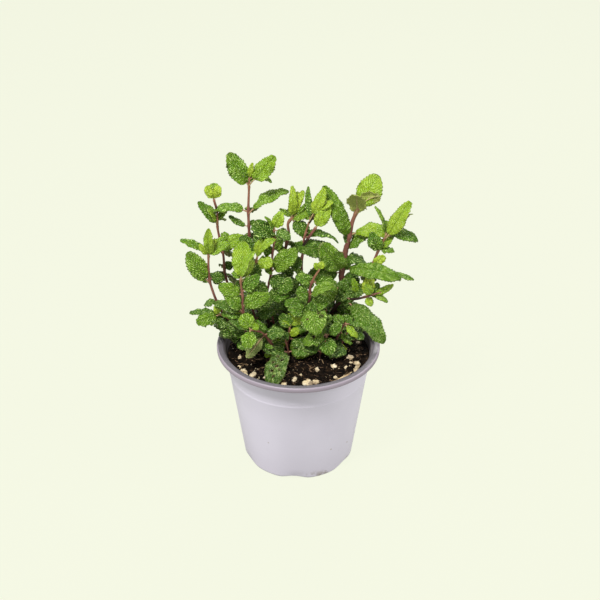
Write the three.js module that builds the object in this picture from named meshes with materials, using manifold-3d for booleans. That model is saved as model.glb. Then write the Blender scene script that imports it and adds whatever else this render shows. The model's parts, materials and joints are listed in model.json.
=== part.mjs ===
// A young mint plant in a thin plastic nursery pot.
// Millimetres, +Z up, origin on the surface that the pot stands on, on the pot's axis.
// +X is the right of the plant, +Y its back.

import * as THREE from 'three';
import { mergeVertices } from 'three/addons/utils/BufferGeometryUtils.js';
import Module from 'manifold-3d';

const wasm = await Module();
wasm.setup();

// ---------- driving dimensions ----------

const RIM_RADIUS = 70;        // outer edge of the pot's rim
const POT_HEIGHT = 111;       // ground to the top of the rim
const BASE_RADIUS = 48;       // foot of the wall, where it meets the ground
const RIM_RING = 5.5;         // flat ring on top of the rim
const RIM_OVERHANG = 7.5;     // rim's outer edge beyond the wall below it
const RIM_FLARE = 7;          // height over which the wall curves out into the ring
const LIP_DROP = 4;           // how far the rim's outer edge turns down
const LIP_ROUND = 1.2;        // rounding of the rim's outer edge
const WALL = 0.9;             // thickness of the pot's wall
const FLOOR = 1.2;            // thickness of the pot's floor
const BEAD_DROP = 26;         // stacking bead below the top of the rim
const BEAD = 0.35;            // how far the bead stands off the wall
const CHANNEL_INNER = 20;     // inner edge of the raised ring in the floor
const CHANNEL_OUTER = 41;     // outer edge of the raised ring in the floor
const CHANNEL_RISE = 3;       // how far that ring is lifted off the ground
const FOOT_ARCHES = 6;        // arches lifted in the foot, between the feet
const FOOT_ARCH_SPAN = 36;    // degrees of the foot that one arch takes
const FOOT_TURN = -4;         // degrees that the front arch is turned from the front
const DRAIN_HOLES = 8;        // holes in the raised ring
const DRAIN_RADIUS = 3.2;     // radius of a drain hole
const HEADSPACE = 10;         // soil's edge below the top of the rim
const MOUND = 2.5;            // soil's middle above its edge
const ROOT_DEPTH = 8;         // how deep a stem stands in the soil
const PLANT_HEIGHT = 160;     // tip of the tallest stem above the soil's edge
const LEAF_THICKNESS = 0.8;   // thickness of a leaf blade
const PETIOLE = 1.5;          // thickness of a leaf stalk
const STRAND_RADIUS = 0.8;    // bare root that lies on the soil
const GAP = 0.3;              // room between neighbours that touch

const POT_SIDES = 60;
const SOIL_SIDES = 40;
const STEM_SIDES = 8;
const STEM_STEP = 9;          // length of stem between two rings of its mesh
const LEAF_STEPS = 8;         // lengths of mesh along a leaf; the first is its stalk

// ---------- sizes that follow from them ----------

const WALL_TOP_RADIUS = RIM_RADIUS - RIM_OVERHANG;
const RING_RADIUS = RIM_RADIUS - RIM_RING;
const WALL_TOP = POT_HEIGHT - RIM_FLARE;
const SOIL_EDGE = POT_HEIGHT - HEADSPACE;
const STEM_REACH = 160;       // height for which the shoots below are drawn
const SPREAD = 60.5;          // soil radius for which the shoots below are drawn

function wallRadius(height) {
  return BASE_RADIUS + (WALL_TOP_RADIUS - BASE_RADIUS) * height / WALL_TOP;
}

const SOIL_RADIUS = wallRadius(SOIL_EDGE) - WALL - GAP;

function groundHeight(x, y) {
  const share = Math.hypot(x, y) / SOIL_RADIUS;
  return SOIL_EDGE + MOUND * (1 - share * share);
}

// A place among the plant: across and depth follow the soil's radius, height the plant's.
function place([across, depth, rise]) {
  const wide = SOIL_RADIUS / SPREAD;
  const x = across * wide;
  const y = depth * wide;
  if (rise > 0) {
    return new THREE.Vector3(x, y, SOIL_EDGE + rise * PLANT_HEIGHT / STEM_REACH);
  }
  return new THREE.Vector3(x, y, SOIL_EDGE + rise);
}

// ---------- materials ----------

function finish(colour, roughness) {
  return new THREE.MeshStandardMaterial({ color: colour, roughness, metalness: 0 });
}

const plastic = () => finish(0xcbc8ce, 0.5);
const earth = () => finish(0x2a2320, 0.95);
const chalk = () => finish(0xd9cfb8, 0.85);
const bareRoot = () => finish(0x8a6a48, 0.8);
const bark = () => finish(0x6b4436, 0.6);
const youngGreen = () => finish(0x9db84e, 0.5);
const midGreen = () => finish(0x5f8a3c, 0.5);
const darkGreen = () => finish(0x33552c, 0.5);

// ---------- solids ----------

function cleaned(geometry) {
  const bare = geometry.index ? geometry : geometry.clone();
  bare.deleteAttribute('normal');
  bare.deleteAttribute('uv');
  return mergeVertices(bare, 1e-4);
}

function solid(geometry) {
  const merged = cleaned(geometry);
  return new wasm.Manifold(new wasm.Mesh({
    numProp: 3,
    vertProperties: new Float32Array(merged.attributes.position.array),
    triVerts: new Uint32Array(merged.index.array),
  }));
}

function geometryOf(manifold) {
  const mesh = manifold.getMesh();
  const geometry = new THREE.BufferGeometry();
  geometry.setAttribute('position', new THREE.BufferAttribute(mesh.vertProperties, 3));
  geometry.setIndex(new THREE.BufferAttribute(mesh.triVerts, 1));
  geometry.computeVertexNormals();
  return geometry;
}

// Everything placed so far, for keeping later pieces clear of it.
const placed = [];
const group = new THREE.Group();

function add(name, geometry, material) {
  const mesh = new THREE.Mesh(geometry, material);
  mesh.name = name;
  group.add(mesh);
  const body = solid(geometry.clone());
  placed.push({ body, box: boxOf(geometry) });
}

function boxOf(geometry) {
  const box = new THREE.Box3();
  return box.setFromBufferAttribute(geometry.attributes.position);
}

function isClear(geometry) {
  const box = boxOf(geometry);
  const body = solid(geometry.clone());
  return placed.every((other) => {
    return !other.box.intersectsBox(box) || body.intersect(other.body).isEmpty();
  });
}

// ---------- pot ----------

function turned(profile, sides) {
  const points = profile.map(([radius, height]) => new THREE.Vector2(radius, height));
  return new THREE.LatheGeometry(points, sides).rotateX(Math.PI / 2);
}

function potProfile() {
  const beadHeight = POT_HEIGHT - BEAD_DROP;
  const beadRadius = wallRadius(beadHeight) + BEAD;
  const lipBottom = POT_HEIGHT - LIP_DROP;
  const underRing = POT_HEIGHT - WALL;
  const channelTop = CHANNEL_RISE + FLOOR;
  const flare = RING_RADIUS - WALL_TOP_RADIUS;
  return [
    [0, 0],
    [CHANNEL_INNER, 0],
    [CHANNEL_INNER + CHANNEL_RISE / 2, CHANNEL_RISE],
    [CHANNEL_OUTER - CHANNEL_RISE / 2, CHANNEL_RISE],
    [CHANNEL_OUTER, 0],
    [BASE_RADIUS - WALL, 0],
    [wallRadius(WALL), WALL],
    [wallRadius(beadHeight - 1), beadHeight - 1],
    [beadRadius, beadHeight - BEAD],
    [beadRadius, beadHeight + BEAD],
    [wallRadius(beadHeight + 1), beadHeight + 1],
    [WALL_TOP_RADIUS, WALL_TOP],
    [WALL_TOP_RADIUS + flare * 0.45, WALL_TOP + RIM_FLARE * 0.5],
    [RING_RADIUS + WALL, underRing],
    [RIM_RADIUS - WALL - LIP_ROUND, underRing],
    [RIM_RADIUS - WALL, underRing - LIP_ROUND],
    [RIM_RADIUS - WALL, lipBottom],
    [RIM_RADIUS, lipBottom],
    [RIM_RADIUS, POT_HEIGHT - LIP_ROUND],
    [RIM_RADIUS - LIP_ROUND * 0.3, POT_HEIGHT - LIP_ROUND * 0.3],
    [RIM_RADIUS - LIP_ROUND, POT_HEIGHT],
    [RING_RADIUS, POT_HEIGHT],
    [WALL_TOP_RADIUS + flare * 0.45 - WALL, WALL_TOP + RIM_FLARE * 0.5 + WALL / 2],
    [WALL_TOP_RADIUS - WALL, WALL_TOP],
    [wallRadius(channelTop) - WALL, channelTop],
    [BASE_RADIUS - 2 * WALL, FLOOR],
    [CHANNEL_OUTER + FLOOR / 2, FLOOR],
    [CHANNEL_OUTER - CHANNEL_RISE / 2 + FLOOR / 2, channelTop],
    [CHANNEL_INNER + CHANNEL_RISE / 2 - FLOOR / 2, channelTop],
    [CHANNEL_INNER - FLOOR / 2, FLOOR],
    [0, FLOOR],
  ];
}

// Lifts the foot between the feet, on its underside and inside alike.
function archFoot(geometry) {
  const position = geometry.attributes.position;
  const pitch = 2 * Math.PI / FOOT_ARCHES;
  const halfSpan = THREE.MathUtils.degToRad(FOOT_ARCH_SPAN) / 2;
  const front = THREE.MathUtils.degToRad(FOOT_TURN) - Math.PI / 2;
  for (let i = 0; i < position.count; i += 1) {
    const x = position.getX(i);
    const y = position.getY(i);
    const z = position.getZ(i);
    const outside = Math.hypot(x, y) > CHANNEL_OUTER - 0.5;
    if (outside && z < CHANNEL_RISE) {
      const turn = Math.atan2(y, x) - front;
      const offset = Math.abs(turn - pitch * Math.round(turn / pitch));
      const share = Math.min(1, offset / halfSpan);
      position.setZ(i, z + CHANNEL_RISE * (1 + Math.cos(Math.PI * share)) / 2);
    }
  }
}

function makePot() {
  const shell = turned(potProfile(), POT_SIDES);
  archFoot(shell);
  let body = solid(shell);
  const holeRing = (CHANNEL_INNER + CHANNEL_OUTER) / 2;
  for (let i = 0; i < DRAIN_HOLES; i += 1) {
    const turn = (i + 0.5) * 2 * Math.PI / DRAIN_HOLES;
    const hole = new THREE.CylinderGeometry(DRAIN_RADIUS, DRAIN_RADIUS, 4 * FLOOR, 16);
    hole.rotateX(Math.PI / 2);
    hole.translate(holeRing * Math.cos(turn), holeRing * Math.sin(turn), CHANNEL_RISE);
    body = body.subtract(solid(hole));
  }
  add('pot', geometryOf(body), plastic());
}

// ---------- stems ----------

function stemPath(shoot) {
  const [across, depth] = shoot.joints[0];
  const start = [
    place([across, depth, -ROOT_DEPTH]),
    place([across, depth, -ROOT_DEPTH / 4]),
    place([across, depth, ROOT_DEPTH / 2]),
  ];
  return new THREE.CatmullRomCurve3([...start, ...shoot.joints.slice(1).map(place)]);
}

function tube(path, radius, tipRadius, step) {
  const steps = Math.max(3, Math.round(path.getLength() / step));
  const section = new THREE.Shape().absarc(0, 0, radius, 0, 2 * Math.PI, false);
  const geometry = new THREE.ExtrudeGeometry(section, {
    extrudePath: path,
    steps,
    curveSegments: STEM_SIDES / 2,
  });
  const centres = path.getSpacedPoints(steps);
  const position = geometry.attributes.position;
  const point = new THREE.Vector3();
  for (let i = 0; i < position.count; i += 1) {
    point.fromBufferAttribute(position, i);
    const distances = centres.map((centre) => centre.distanceTo(point));
    const ring = distances.indexOf(Math.min(...distances));
    const taper = 1 + (tipRadius / radius - 1) * ring / steps;
    point.sub(centres[ring]).multiplyScalar(taper).add(centres[ring]);
    position.setXYZ(i, point.x, point.y, point.z);
  }
  return cleaned(geometry);
}

// The hole that a stem stands in.
function socket(shoot) {
  const foot = place([shoot.joints[0][0], shoot.joints[0][1], -ROOT_DEPTH]);
  const radius = shoot.radius + 2 * GAP;
  const depth = ROOT_DEPTH + MOUND + 4 * GAP;
  const hole = new THREE.CylinderGeometry(radius, radius, depth, 12);
  hole.rotateX(Math.PI / 2);
  hole.translate(foot.x, foot.y, foot.z - GAP + depth / 2);
  return solid(hole);
}

// ---------- leaves ----------

// Half of the blade's width at a share of its length.
function halfWidth(share, width) {
  const stalkShare = 1 / LEAF_STEPS;
  if (share <= stalkShare) {
    return PETIOLE / 2;
  }
  const blade = (share - stalkShare) / (1 - stalkShare);
  const outline = Math.sin(Math.PI * blade ** 0.85) ** 0.6;
  return Math.max(PETIOLE / 3, outline * width / 2);
}

// A leaf along +X with its upper side towards +Z, its stalk starting at the origin.
function flatLeaf(length, width, arch, fold, skin) {
  const geometry = new THREE.BoxGeometry(1, 1, 1, LEAF_STEPS, 2, 1);
  const position = geometry.attributes.position;
  const tilt = THREE.MathUtils.degToRad(fold);
  for (let i = 0; i < position.count; i += 1) {
    const share = position.getX(i) + 0.5;
    const side = position.getY(i) * 2;
    const half = halfWidth(share, width) + skin;
    const isStalk = share <= 1 / LEAF_STEPS + 0.01;
    const thickness = (isStalk ? PETIOLE : LEAF_THICKNESS) + 2 * skin;
    const across = side * half;
    const rise = isStalk ? 0 : Math.abs(across) * Math.sin(tilt);
    const bow = arch * length * 4 * share * (1 - share);
    position.setXYZ(
      i,
      share * length,
      across * Math.cos(tilt),
      bow + rise + position.getZ(i) * thickness,
    );
  }
  return cleaned(geometry);
}

// Turns a flat leaf so that it runs along reach and its upper side looks towards face.
function aimLeaf(geometry, base, reach, face) {
  const along = reach.clone().normalize();
  const upper = face.clone().addScaledVector(along, -face.dot(along)).normalize();
  const side = new THREE.Vector3().crossVectors(upper, along);
  const frame = new THREE.Matrix4().makeBasis(along, side, upper).setPosition(base);
  return geometry.applyMatrix4(frame);
}

// Where a leaf's stalk starts, just off the stem's skin on the leaf's side.
function stalkStart(path, share, radius, reach) {
  const centre = path.getPointAt(share);
  const tangent = path.getTangentAt(share);
  const out = reach.clone().addScaledVector(tangent, -reach.dot(tangent)).normalize();
  return centre.addScaledVector(out, radius + PETIOLE / 2 + GAP);
}

// Turns that a leaf tries until it is clear of its neighbours, small ones first.
function turns() {
  const list = [[0, 0]];
  for (let ring = 1; ring <= 14; ring += 1) {
    for (let i = 0; i < 8; i += 1) {
      const direction = (i + ring * 0.5) * Math.PI / 4;
      list.push([ring * 4 * Math.cos(direction), ring * 4 * Math.sin(direction)]);
    }
  }
  return list;
}

const TURNS = turns();

function settledLeaf(leaf, path, stemRadius, share) {
  const reach = new THREE.Vector3(...leaf.reach);
  const face = new THREE.Vector3(...(leaf.face ?? [0, 0, 1]));
  const level = new THREE.Vector3().crossVectors(reach, face).normalize();
  const length = reach.length();
  for (const [swing, lift] of TURNS) {
    const turn = new THREE.Quaternion()
      .setFromAxisAngle(level, THREE.MathUtils.degToRad(lift))
      .premultiply(new THREE.Quaternion().setFromAxisAngle(
        new THREE.Vector3(0, 0, 1), THREE.MathUtils.degToRad(swing)));
    const turnedReach = reach.clone().applyQuaternion(turn);
    const turnedFace = face.clone().applyQuaternion(turn);
    const base = stalkStart(path, share, stemRadius, turnedReach);
    const shape = (skin) => aimLeaf(
      flatLeaf(length, leaf.width, leaf.arch ?? 0.08, leaf.fold ?? 16, skin),
      base, turnedReach, turnedFace);
    if (isClear(shape(GAP))) {
      return shape(0);
    }
  }
  throw new Error('no room for a leaf of ' + leaf.width);
}

// ---------- the plant ----------

// joints: across, depth and height above the soil's edge, from the root to the tip.
// A leaf grows from one of the joints; reach is its tip seen from there, face is the
// direction that its upper side looks in (up, unless given).
const FRONT = [0, -1, 0.5];

const SHOOTS = [
  {
    name: 'tall_left', radius: 1.8, tip: 0.8,
    joints: [[-30, 15, 0], [-36, 14, 48], [-39.7, 13, 96], [-40.5, 12, 128],
      [-39.5, 12, 151], [-39.3, 12, 160]],
    leaves: [
      { joint: 4, reach: [-13, 5, 29], width: 15, face: FRONT, colour: midGreen },
      { joint: 4, reach: [18, -5, 30], width: 13, face: FRONT, colour: youngGreen },
      { joint: 3, reach: [31, 8, 16], width: 13, arch: 0.14, face: [0, -0.3, 1], colour: midGreen },
      { joint: 3, reach: [-29, 6, -1.5], width: 13, arch: 0.16, colour: midGreen },
    ],
  },
  {
    name: 'left_back', radius: 1.3, tip: 0.8,
    joints: [[-42, 20, 0], [-52, 19, 28], [-60, 18, 58], [-62, 18, 69], [-62.5, 18, 84],
      [-66.5, 18, 112], [-66, 18, 128]],
    leaves: [
      { joint: 5, reach: [-13, 4, 21.5], width: 10, face: [1, -1, 0.6], colour: midGreen },
    ],
  },
  {
    name: 'left_front', radius: 1.3, tip: 0.8,
    joints: [[-48, 5, 0], [-58, 2, 25], [-67, 0, 47], [-71.5, 0, 62], [-73.3, 0, 70],
      [-73.5, 0, 94], [-73, 0, 99]],
    leaves: [
      { joint: 4, reach: [-16, 4, 27], width: 16, face: FRONT, colour: midGreen },
      { joint: 5, reach: [3, -2, 31], width: 9, face: FRONT, colour: youngGreen },
    ],
  },
  {
    name: 'mid_left', radius: 1.3, tip: 0.8,
    joints: [[-40, -5, 0], [-43, -12, 25], [-45.5, -15, 49], [-46, -15, 55],
      [-45.5, -15, 65], [-47, -15, 78], [-47, -15, 82]],
    leaves: [
      { joint: 5, reach: [1.5, 3, 33], width: 18, face: FRONT, colour: youngGreen },
      { joint: 3, reach: [20.5, -6, 16], width: 14, face: FRONT, colour: midGreen },
      { joint: 4, reach: [-18, 3, 9], width: 12, face: FRONT, colour: midGreen },
    ],
  },
  {
    name: 'inner_left', radius: 1, tip: 0.7,
    joints: [[-33, 0, 0], [-37, 2, 35], [-39, 2, 43], [-40.5, 2, 63], [-33, 2, 95]],
    leaves: [],
  },
  {
    name: 'middle_left', radius: 1.1, tip: 0.7,
    joints: [[-24, 8, 0], [-27, 6, 48], [-24, 5, 68], [-22.5, 5, 77], [-21, 5, 96],
      [-19.5, 5, 107], [-20, 5, 117]],
    leaves: [
      { joint: 3, reach: [20, -4, 22], width: 16, face: FRONT, colour: midGreen },
      { joint: 5, reach: [-14, 1, 18], width: 17, face: FRONT, colour: darkGreen },
    ],
  },
  {
    name: 'middle', radius: 1.6, tip: 1,
    joints: [[-12, 25, 0], [-13, 22, 64], [-10.5, 20, 92], [-8, 20, 103], [-8, 20, 116],
      [-3.5, 20, 121]],
    leaves: [],
  },
  {
    name: 'middle_right', radius: 1.3, tip: 0.7,
    joints: [[0, 14, 0], [2, 13, 50], [3, 12, 81], [3.5, 12, 89], [4.5, 12, 103],
      [9, 12, 120]],
    leaves: [
      { joint: 5, reach: [10.5, 2, 32.5], width: 9, face: FRONT, colour: youngGreen },
    ],
  },
  {
    name: 'tall_right', radius: 2.4, tip: 1.4,
    joints: [[30, 24, 0], [33, 23, 28], [36.5, 22, 53.5], [36.5, 22, 67], [38.5, 21, 76],
      [39.5, 21, 88], [42.5, 20, 101.5], [44, 20, 113.5], [47, 20, 123], [50, 20, 132]],
    leaves: [
      { joint: 9, reach: [12.5, 6, 24], width: 20, face: FRONT, colour: youngGreen },
      { joint: 8, reach: [-2, -10, 21], width: 15, face: [0, 0.6, 1], colour: midGreen },
      { joint: 6, reach: [-25, 3, 47], width: 14, arch: 0.12, face: [0.6, -1, 0.4], colour: midGreen },
      { joint: 6, reach: [34, -4, 4], width: 15, arch: 0.24, face: [0, -0.4, 1], colour: youngGreen },
      { joint: 5, reach: [20, 0, 22], width: 12, face: [-0.4, -0.6, 1], colour: midGreen },
      { joint: 5, reach: [-44, -8, 9], width: 15, face: FRONT, colour: darkGreen },
      { joint: 3, reach: [-13, -15, 35], width: 21, face: FRONT, colour: youngGreen },
      { joint: 3, reach: [47, -30, 12.5], width: 16, face: [0, -0.6, 1], colour: midGreen },
      { joint: 3, reach: [-25, -9, -5], width: 16, face: FRONT, colour: darkGreen },
      { joint: 2, reach: [-26, -14, -12], width: 17, face: [0, -0.7, 1], colour: midGreen },
    ],
  },
  {
    name: 'right', radius: 1.5, tip: 0.8,
    joints: [[23, 20, 0], [29, 17, 30], [34, 15, 39], [38.5, 14, 43.5], [47, 13, 47],
      [54.5, 12, 56], [57.5, 11, 66], [62, 10, 82], [65.5, 10, 92.5], [71.5, 10, 107]],
    leaves: [
      { joint: 9, reach: [20, 3, 34], width: 14, face: [-0.4, -1, 0.4], colour: youngGreen },
      { joint: 9, reach: [27.5, -2, 8], width: 12, arch: 0.2, face: [0, -0.4, 1], colour: midGreen },
      { joint: 8, reach: [-4, 2, 20], width: 12, face: FRONT, colour: midGreen },
      { joint: 6, reach: [38, 4, 0], width: 12, colour: midGreen },
      { joint: 3, reach: [33.5, -20, -28.5], width: 19, face: [0, -0.6, 1], colour: midGreen },
    ],
  },
  {
    name: 'middle_front', radius: 1.4, tip: 0.8,
    joints: [[8, 0, 0], [8, -3, 25], [8.5, -5, 50], [9.7, -5, 60], [10.3, -5, 72],
      [13.8, -5, 77.5], [17, -5, 84]],
    leaves: [
      { joint: 4, reach: [22, -3, 3], width: 15, face: [0, -0.7, 1], colour: midGreen },
      { joint: 3, reach: [24, -8, 11], width: 12, face: [0, -0.5, 1], colour: midGreen },
      { joint: 2, reach: [8, -22, -13], width: 22, face: [0, -0.4, 1], colour: midGreen },
    ],
  },
  {
    name: 'front', radius: 1.1, tip: 0.7,
    joints: [[-9, -1, 0], [-9, -2, 7], [-8.5, -4, 17], [-7, -6, 28.5]],
    leaves: [
      { joint: 3, reach: [8, 3, 16], width: 13, face: FRONT, colour: youngGreen },
      { joint: 2, reach: [20, -12, -7], width: 17, colour: darkGreen },
      { joint: 1, reach: [-16, -52, -3], width: 21, colour: darkGreen },
    ],
  },
  {
    name: 'front_left', radius: 1.1, tip: 0.7,
    joints: [[-18, -10, 0], [-22, -13, 14], [-26, -16, 25], [-36, -24, 38],
      [-40, -26, 39]],
    leaves: [
      { joint: 4, reach: [-3, -16, -6], width: 14, colour: midGreen },
    ],
  },
  {
    name: 'low_left', radius: 1, tip: 0.7,
    joints: [[-44, 2, 0], [-50, -2, 18], [-57, -5, 34], [-61, -6, 39], [-67, -7, 43]],
    leaves: [
      { joint: 4, reach: [20, -5, 8], width: 13, face: FRONT, colour: youngGreen },
      { joint: 4, reach: [-18, -5, -4], width: 13, face: [0, -0.6, 1], colour: youngGreen },
      { joint: 1, reach: [-17, -5, 18], width: 13, face: FRONT, colour: darkGreen },
    ],
  },
  {
    name: 'front_right', radius: 1.1, tip: 0.8,
    joints: [[20, -5, 0], [22, -9, 14], [24, -12, 25]],
    leaves: [
      { joint: 2, reach: [-19, -6, -3], width: 13, face: [0, -0.6, 1], colour: midGreen },
    ],
  },
];

function addStems() {
  for (const shoot of SHOOTS) {
    shoot.path = stemPath(shoot);
    const stem = tube(shoot.path, shoot.radius, shoot.tip, STEM_STEP);
    add('stem_' + shoot.name, stem, bark());
  }
}

// Share of a stem's length at which one of its joints lies.
function jointShare(shoot, joint) {
  const goal = place(shoot.joints[joint]);
  const samples = 400;
  let best = 0;
  for (let i = 0; i <= samples; i += 1) {
    const distance = shoot.path.getPointAt(i / samples).distanceTo(goal);
    if (distance < shoot.path.getPointAt(best).distanceTo(goal)) {
      best = i / samples;
    }
  }
  return Math.min(best, 0.985);
}

function addLeaves() {
  for (const shoot of SHOOTS) {
    shoot.leaves.forEach((leaf, index) => {
      const share = jointShare(shoot, leaf.joint);
      const radius = shoot.radius + (shoot.tip - shoot.radius) * share;
      const blade = settledLeaf(leaf, shoot.path, radius, share);
      add('leaf_' + shoot.name + '_' + (index + 1), blade, leaf.colour());
    });
  }
}

// ---------- soil, pebbles and the bare root on it ----------

// distance along the wall from the front middle, distance in from the wall, half sizes
const PEBBLES = [
  { along: 7, inset: 11, half: [4.6, 2.8, 2.6] },
  { along: -51.6, inset: 2.9, half: [4, 3, 2] },
  { along: 58.7, inset: 3, half: [3.4, 3, 2.2] },
];

// A place on the soil, the same way from the wall in a pot of any size.
function byTheWall(along, inset) {
  const ring = SOIL_RADIUS - inset;
  const turn = along / ring - Math.PI / 2;
  return [ring * Math.cos(turn), ring * Math.sin(turn)];
}

function pebble({ along, inset, half }, skin) {
  const [x, y] = byTheWall(along, inset);
  const geometry = new THREE.IcosahedronGeometry(1, 1);
  geometry.scale(half[0] + skin, half[1] + skin, half[2] + skin);
  geometry.rotateZ(Math.atan2(y, x) + Math.PI / 2);
  geometry.translate(x, y, groundHeight(x, y) + half[2] / 3);
  return cleaned(geometry);
}

function makeSoil() {
  const bottom = CHANNEL_RISE + FLOOR + GAP;
  const steps = 6;
  const profile = [[0, bottom], [wallRadius(bottom) - WALL - GAP, bottom]];
  for (let i = 0; i <= steps; i += 1) {
    const radius = SOIL_RADIUS * (1 - i / steps);
    profile.push([radius, groundHeight(radius, 0)]);
  }
  let body = solid(turned(profile, SOIL_SIDES));
  for (const shoot of SHOOTS) {
    body = body.subtract(socket(shoot));
  }
  for (const stone of PEBBLES) {
    body = body.subtract(solid(pebble(stone, GAP)));
  }
  add('soil', geometryOf(body), earth());
}

function addPebbles() {
  PEBBLES.forEach((stone, index) => {
    add('pebble_' + (index + 1), pebble(stone, 0), chalk());
  });
}

// The bare root follows the inside of the wall on the right of the front.
const ROOT_RUN = [28, 33, 38, 43, 48, 52.5];

function addBareRoot() {
  const points = [];
  for (const along of ROOT_RUN) {
    const [x, y] = byTheWall(along, 6 * STRAND_RADIUS);
    points.push(new THREE.Vector3(x, y, groundHeight(x, y) + STRAND_RADIUS + GAP));
  }
  const path = new THREE.CatmullRomCurve3(points);
  add('bare_root', tube(path, STRAND_RADIUS, STRAND_RADIUS / 2, 4), bareRoot());
}

makePot();
makeSoil();
addPebbles();
addBareRoot();
addStems();
addLeaves();

export default group;
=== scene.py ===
# A young mint plant in a thin plastic nursery pot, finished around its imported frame.
# Metres, +Z up; +X is the right of the plant and +Y its back.
import json
import math
import random

import bmesh
import bpy
from mathutils import Matrix, Vector, noise


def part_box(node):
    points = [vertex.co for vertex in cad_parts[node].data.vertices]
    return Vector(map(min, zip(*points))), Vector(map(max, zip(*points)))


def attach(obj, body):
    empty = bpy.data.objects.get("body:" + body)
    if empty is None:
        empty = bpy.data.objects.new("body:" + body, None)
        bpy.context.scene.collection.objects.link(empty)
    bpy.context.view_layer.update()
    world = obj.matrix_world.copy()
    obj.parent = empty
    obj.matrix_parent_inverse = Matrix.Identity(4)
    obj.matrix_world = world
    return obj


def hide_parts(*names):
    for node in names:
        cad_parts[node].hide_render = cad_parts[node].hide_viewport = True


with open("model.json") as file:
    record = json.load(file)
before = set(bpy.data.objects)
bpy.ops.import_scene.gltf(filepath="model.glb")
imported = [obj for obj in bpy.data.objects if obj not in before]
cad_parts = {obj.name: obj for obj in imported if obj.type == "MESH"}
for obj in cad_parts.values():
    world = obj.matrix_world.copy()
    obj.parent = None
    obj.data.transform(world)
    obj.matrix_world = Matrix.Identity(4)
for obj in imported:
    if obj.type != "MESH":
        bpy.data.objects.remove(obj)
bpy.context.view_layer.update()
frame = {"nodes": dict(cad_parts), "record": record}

MM = 0.001
UP = Vector((0, 0, 1))
FRONT = (0, -1, 0.5)

POT_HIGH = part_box("pot")[1]
SOIL_LOW, SOIL_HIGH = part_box("soil")
RIM_RADIUS = POT_HIGH.x
POT_HEIGHT = POT_HIGH.z
SOIL_RADIUS = SOIL_HIGH.x
MOUND = 2.5 * MM
SOIL_EDGE = SOIL_HIGH.z - MOUND


# ---------- small helpers ----------

def mix(a, b, share):
    return a + (b - a) * share


def smooth(low, high, value):
    """0 below low, 1 above high, a soft step between."""
    t = min(1, max(0, (value - low) / (high - low)))
    return t * t * (3 - 2 * t)


def make_piece(name, bm, materials, stands_for=()):
    mesh = bpy.data.meshes.new(name)
    bm.to_mesh(mesh)
    bm.free()
    mesh.shade_smooth()
    for material in materials:
        mesh.materials.append(material)
    piece = bpy.data.objects.new(name, mesh)
    bpy.context.scene.collection.objects.link(piece)
    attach(piece, "root")
    if stands_for:
        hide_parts(*stands_for)
    return piece


def in_batches(count, add_one, size=40):
    """One mesh of many small shapes, made a batch at a time so that it stays quick."""
    whole = bmesh.new()
    for start in range(0, count, size):
        batch = bmesh.new()
        for number in range(start, min(start + size, count)):
            add_one(batch, number)
        mesh = bpy.data.meshes.new("batch")
        batch.to_mesh(mesh)
        batch.free()
        whole.from_mesh(mesh)
        bpy.data.meshes.remove(mesh)
    return whole


# ---------- material nodes ----------

class Nodes:
    """Short ways to add nodes to one tree."""

    def __init__(self, tree):
        self.tree = tree

    def add(self, kind, **settings):
        node = self.tree.nodes.new(kind)
        for name, value in settings.items():
            setattr(node, name, value)
        return node

    def feed(self, node, values):
        for key, value in values.items():
            socket = node.inputs[key]
            if isinstance(value, bpy.types.NodeSocket):
                self.tree.links.new(value, socket)
            else:
                socket.default_value = value
        return node

    def math(self, operation, a, b=0.0, clamp=False):
        node = self.add("ShaderNodeMath", operation=operation, use_clamp=clamp)
        return self.feed(node, {0: a, 1: b}).outputs[0]

    def vector_math(self, operation, a, b):
        node = self.add("ShaderNodeVectorMath", operation=operation)
        return self.feed(node, {0: a, 1: b}).outputs[0]

    def blend(self, share, a, b, kind="MIX"):
        node = self.add("ShaderNodeMix", data_type="RGBA", blend_type=kind)
        return self.feed(node, {"Factor": share, "A": a, "B": b}).outputs["Result"]

    def range(self, value, low, high, to_low=0.0, to_high=1.0):
        node = self.add("ShaderNodeMapRange", interpolation_type="SMOOTHSTEP")
        return self.feed(node, {
            "Value": value, "From Min": low, "From Max": high,
            "To Min": to_low, "To Max": to_high,
        }).outputs["Result"]

    def noise(self, where, scale, detail=3.0, roughness=0.55):
        node = self.add("ShaderNodeTexNoise")
        self.feed(node, {"Vector": where, "Scale": scale, "Detail": detail,
                         "Roughness": roughness})
        return node.outputs["Fac"]

    def cells(self, where, scale, feature="F1", jitter=1.0):
        node = self.add("ShaderNodeTexVoronoi", feature=feature)
        self.feed(node, {"Vector": where, "Scale": scale, "Randomness": jitter})
        return node.outputs["Distance"]

    def ramp(self, value, stops):
        node = self.add("ShaderNodeValToRGB")
        ramp = node.color_ramp
        while len(ramp.elements) < len(stops):
            ramp.elements.new(0.5)
        for element, (place, colour) in zip(ramp.elements, stops):
            element.position = place
            element.color = (*colour, 1)
        self.feed(node, {"Fac": value})
        return node.outputs["Color"]

    def attribute(self, name, output="Fac"):
        node = self.add("ShaderNodeAttribute", attribute_name=name)
        return node.outputs[output]

    def object_place(self):
        return self.add("ShaderNodeTexCoord").outputs["Object"]

    def bump(self, height, strength, distance):
        node = self.add("ShaderNodeBump")
        self.feed(node, {"Height": height, "Strength": strength, "Distance": distance})
        return node.outputs["Normal"]


def new_group(name, inputs, outputs):
    tree = bpy.data.node_groups.new(name, "ShaderNodeTree")
    for label, kind in inputs:
        tree.interface.new_socket(name=label, in_out="INPUT", socket_type=kind)
    for label, kind in outputs:
        tree.interface.new_socket(name=label, in_out="OUTPUT", socket_type=kind)
    nodes = Nodes(tree)
    source = nodes.add("NodeGroupInput")
    sink = nodes.add("NodeGroupOutput")
    return nodes, source.outputs, sink


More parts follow.
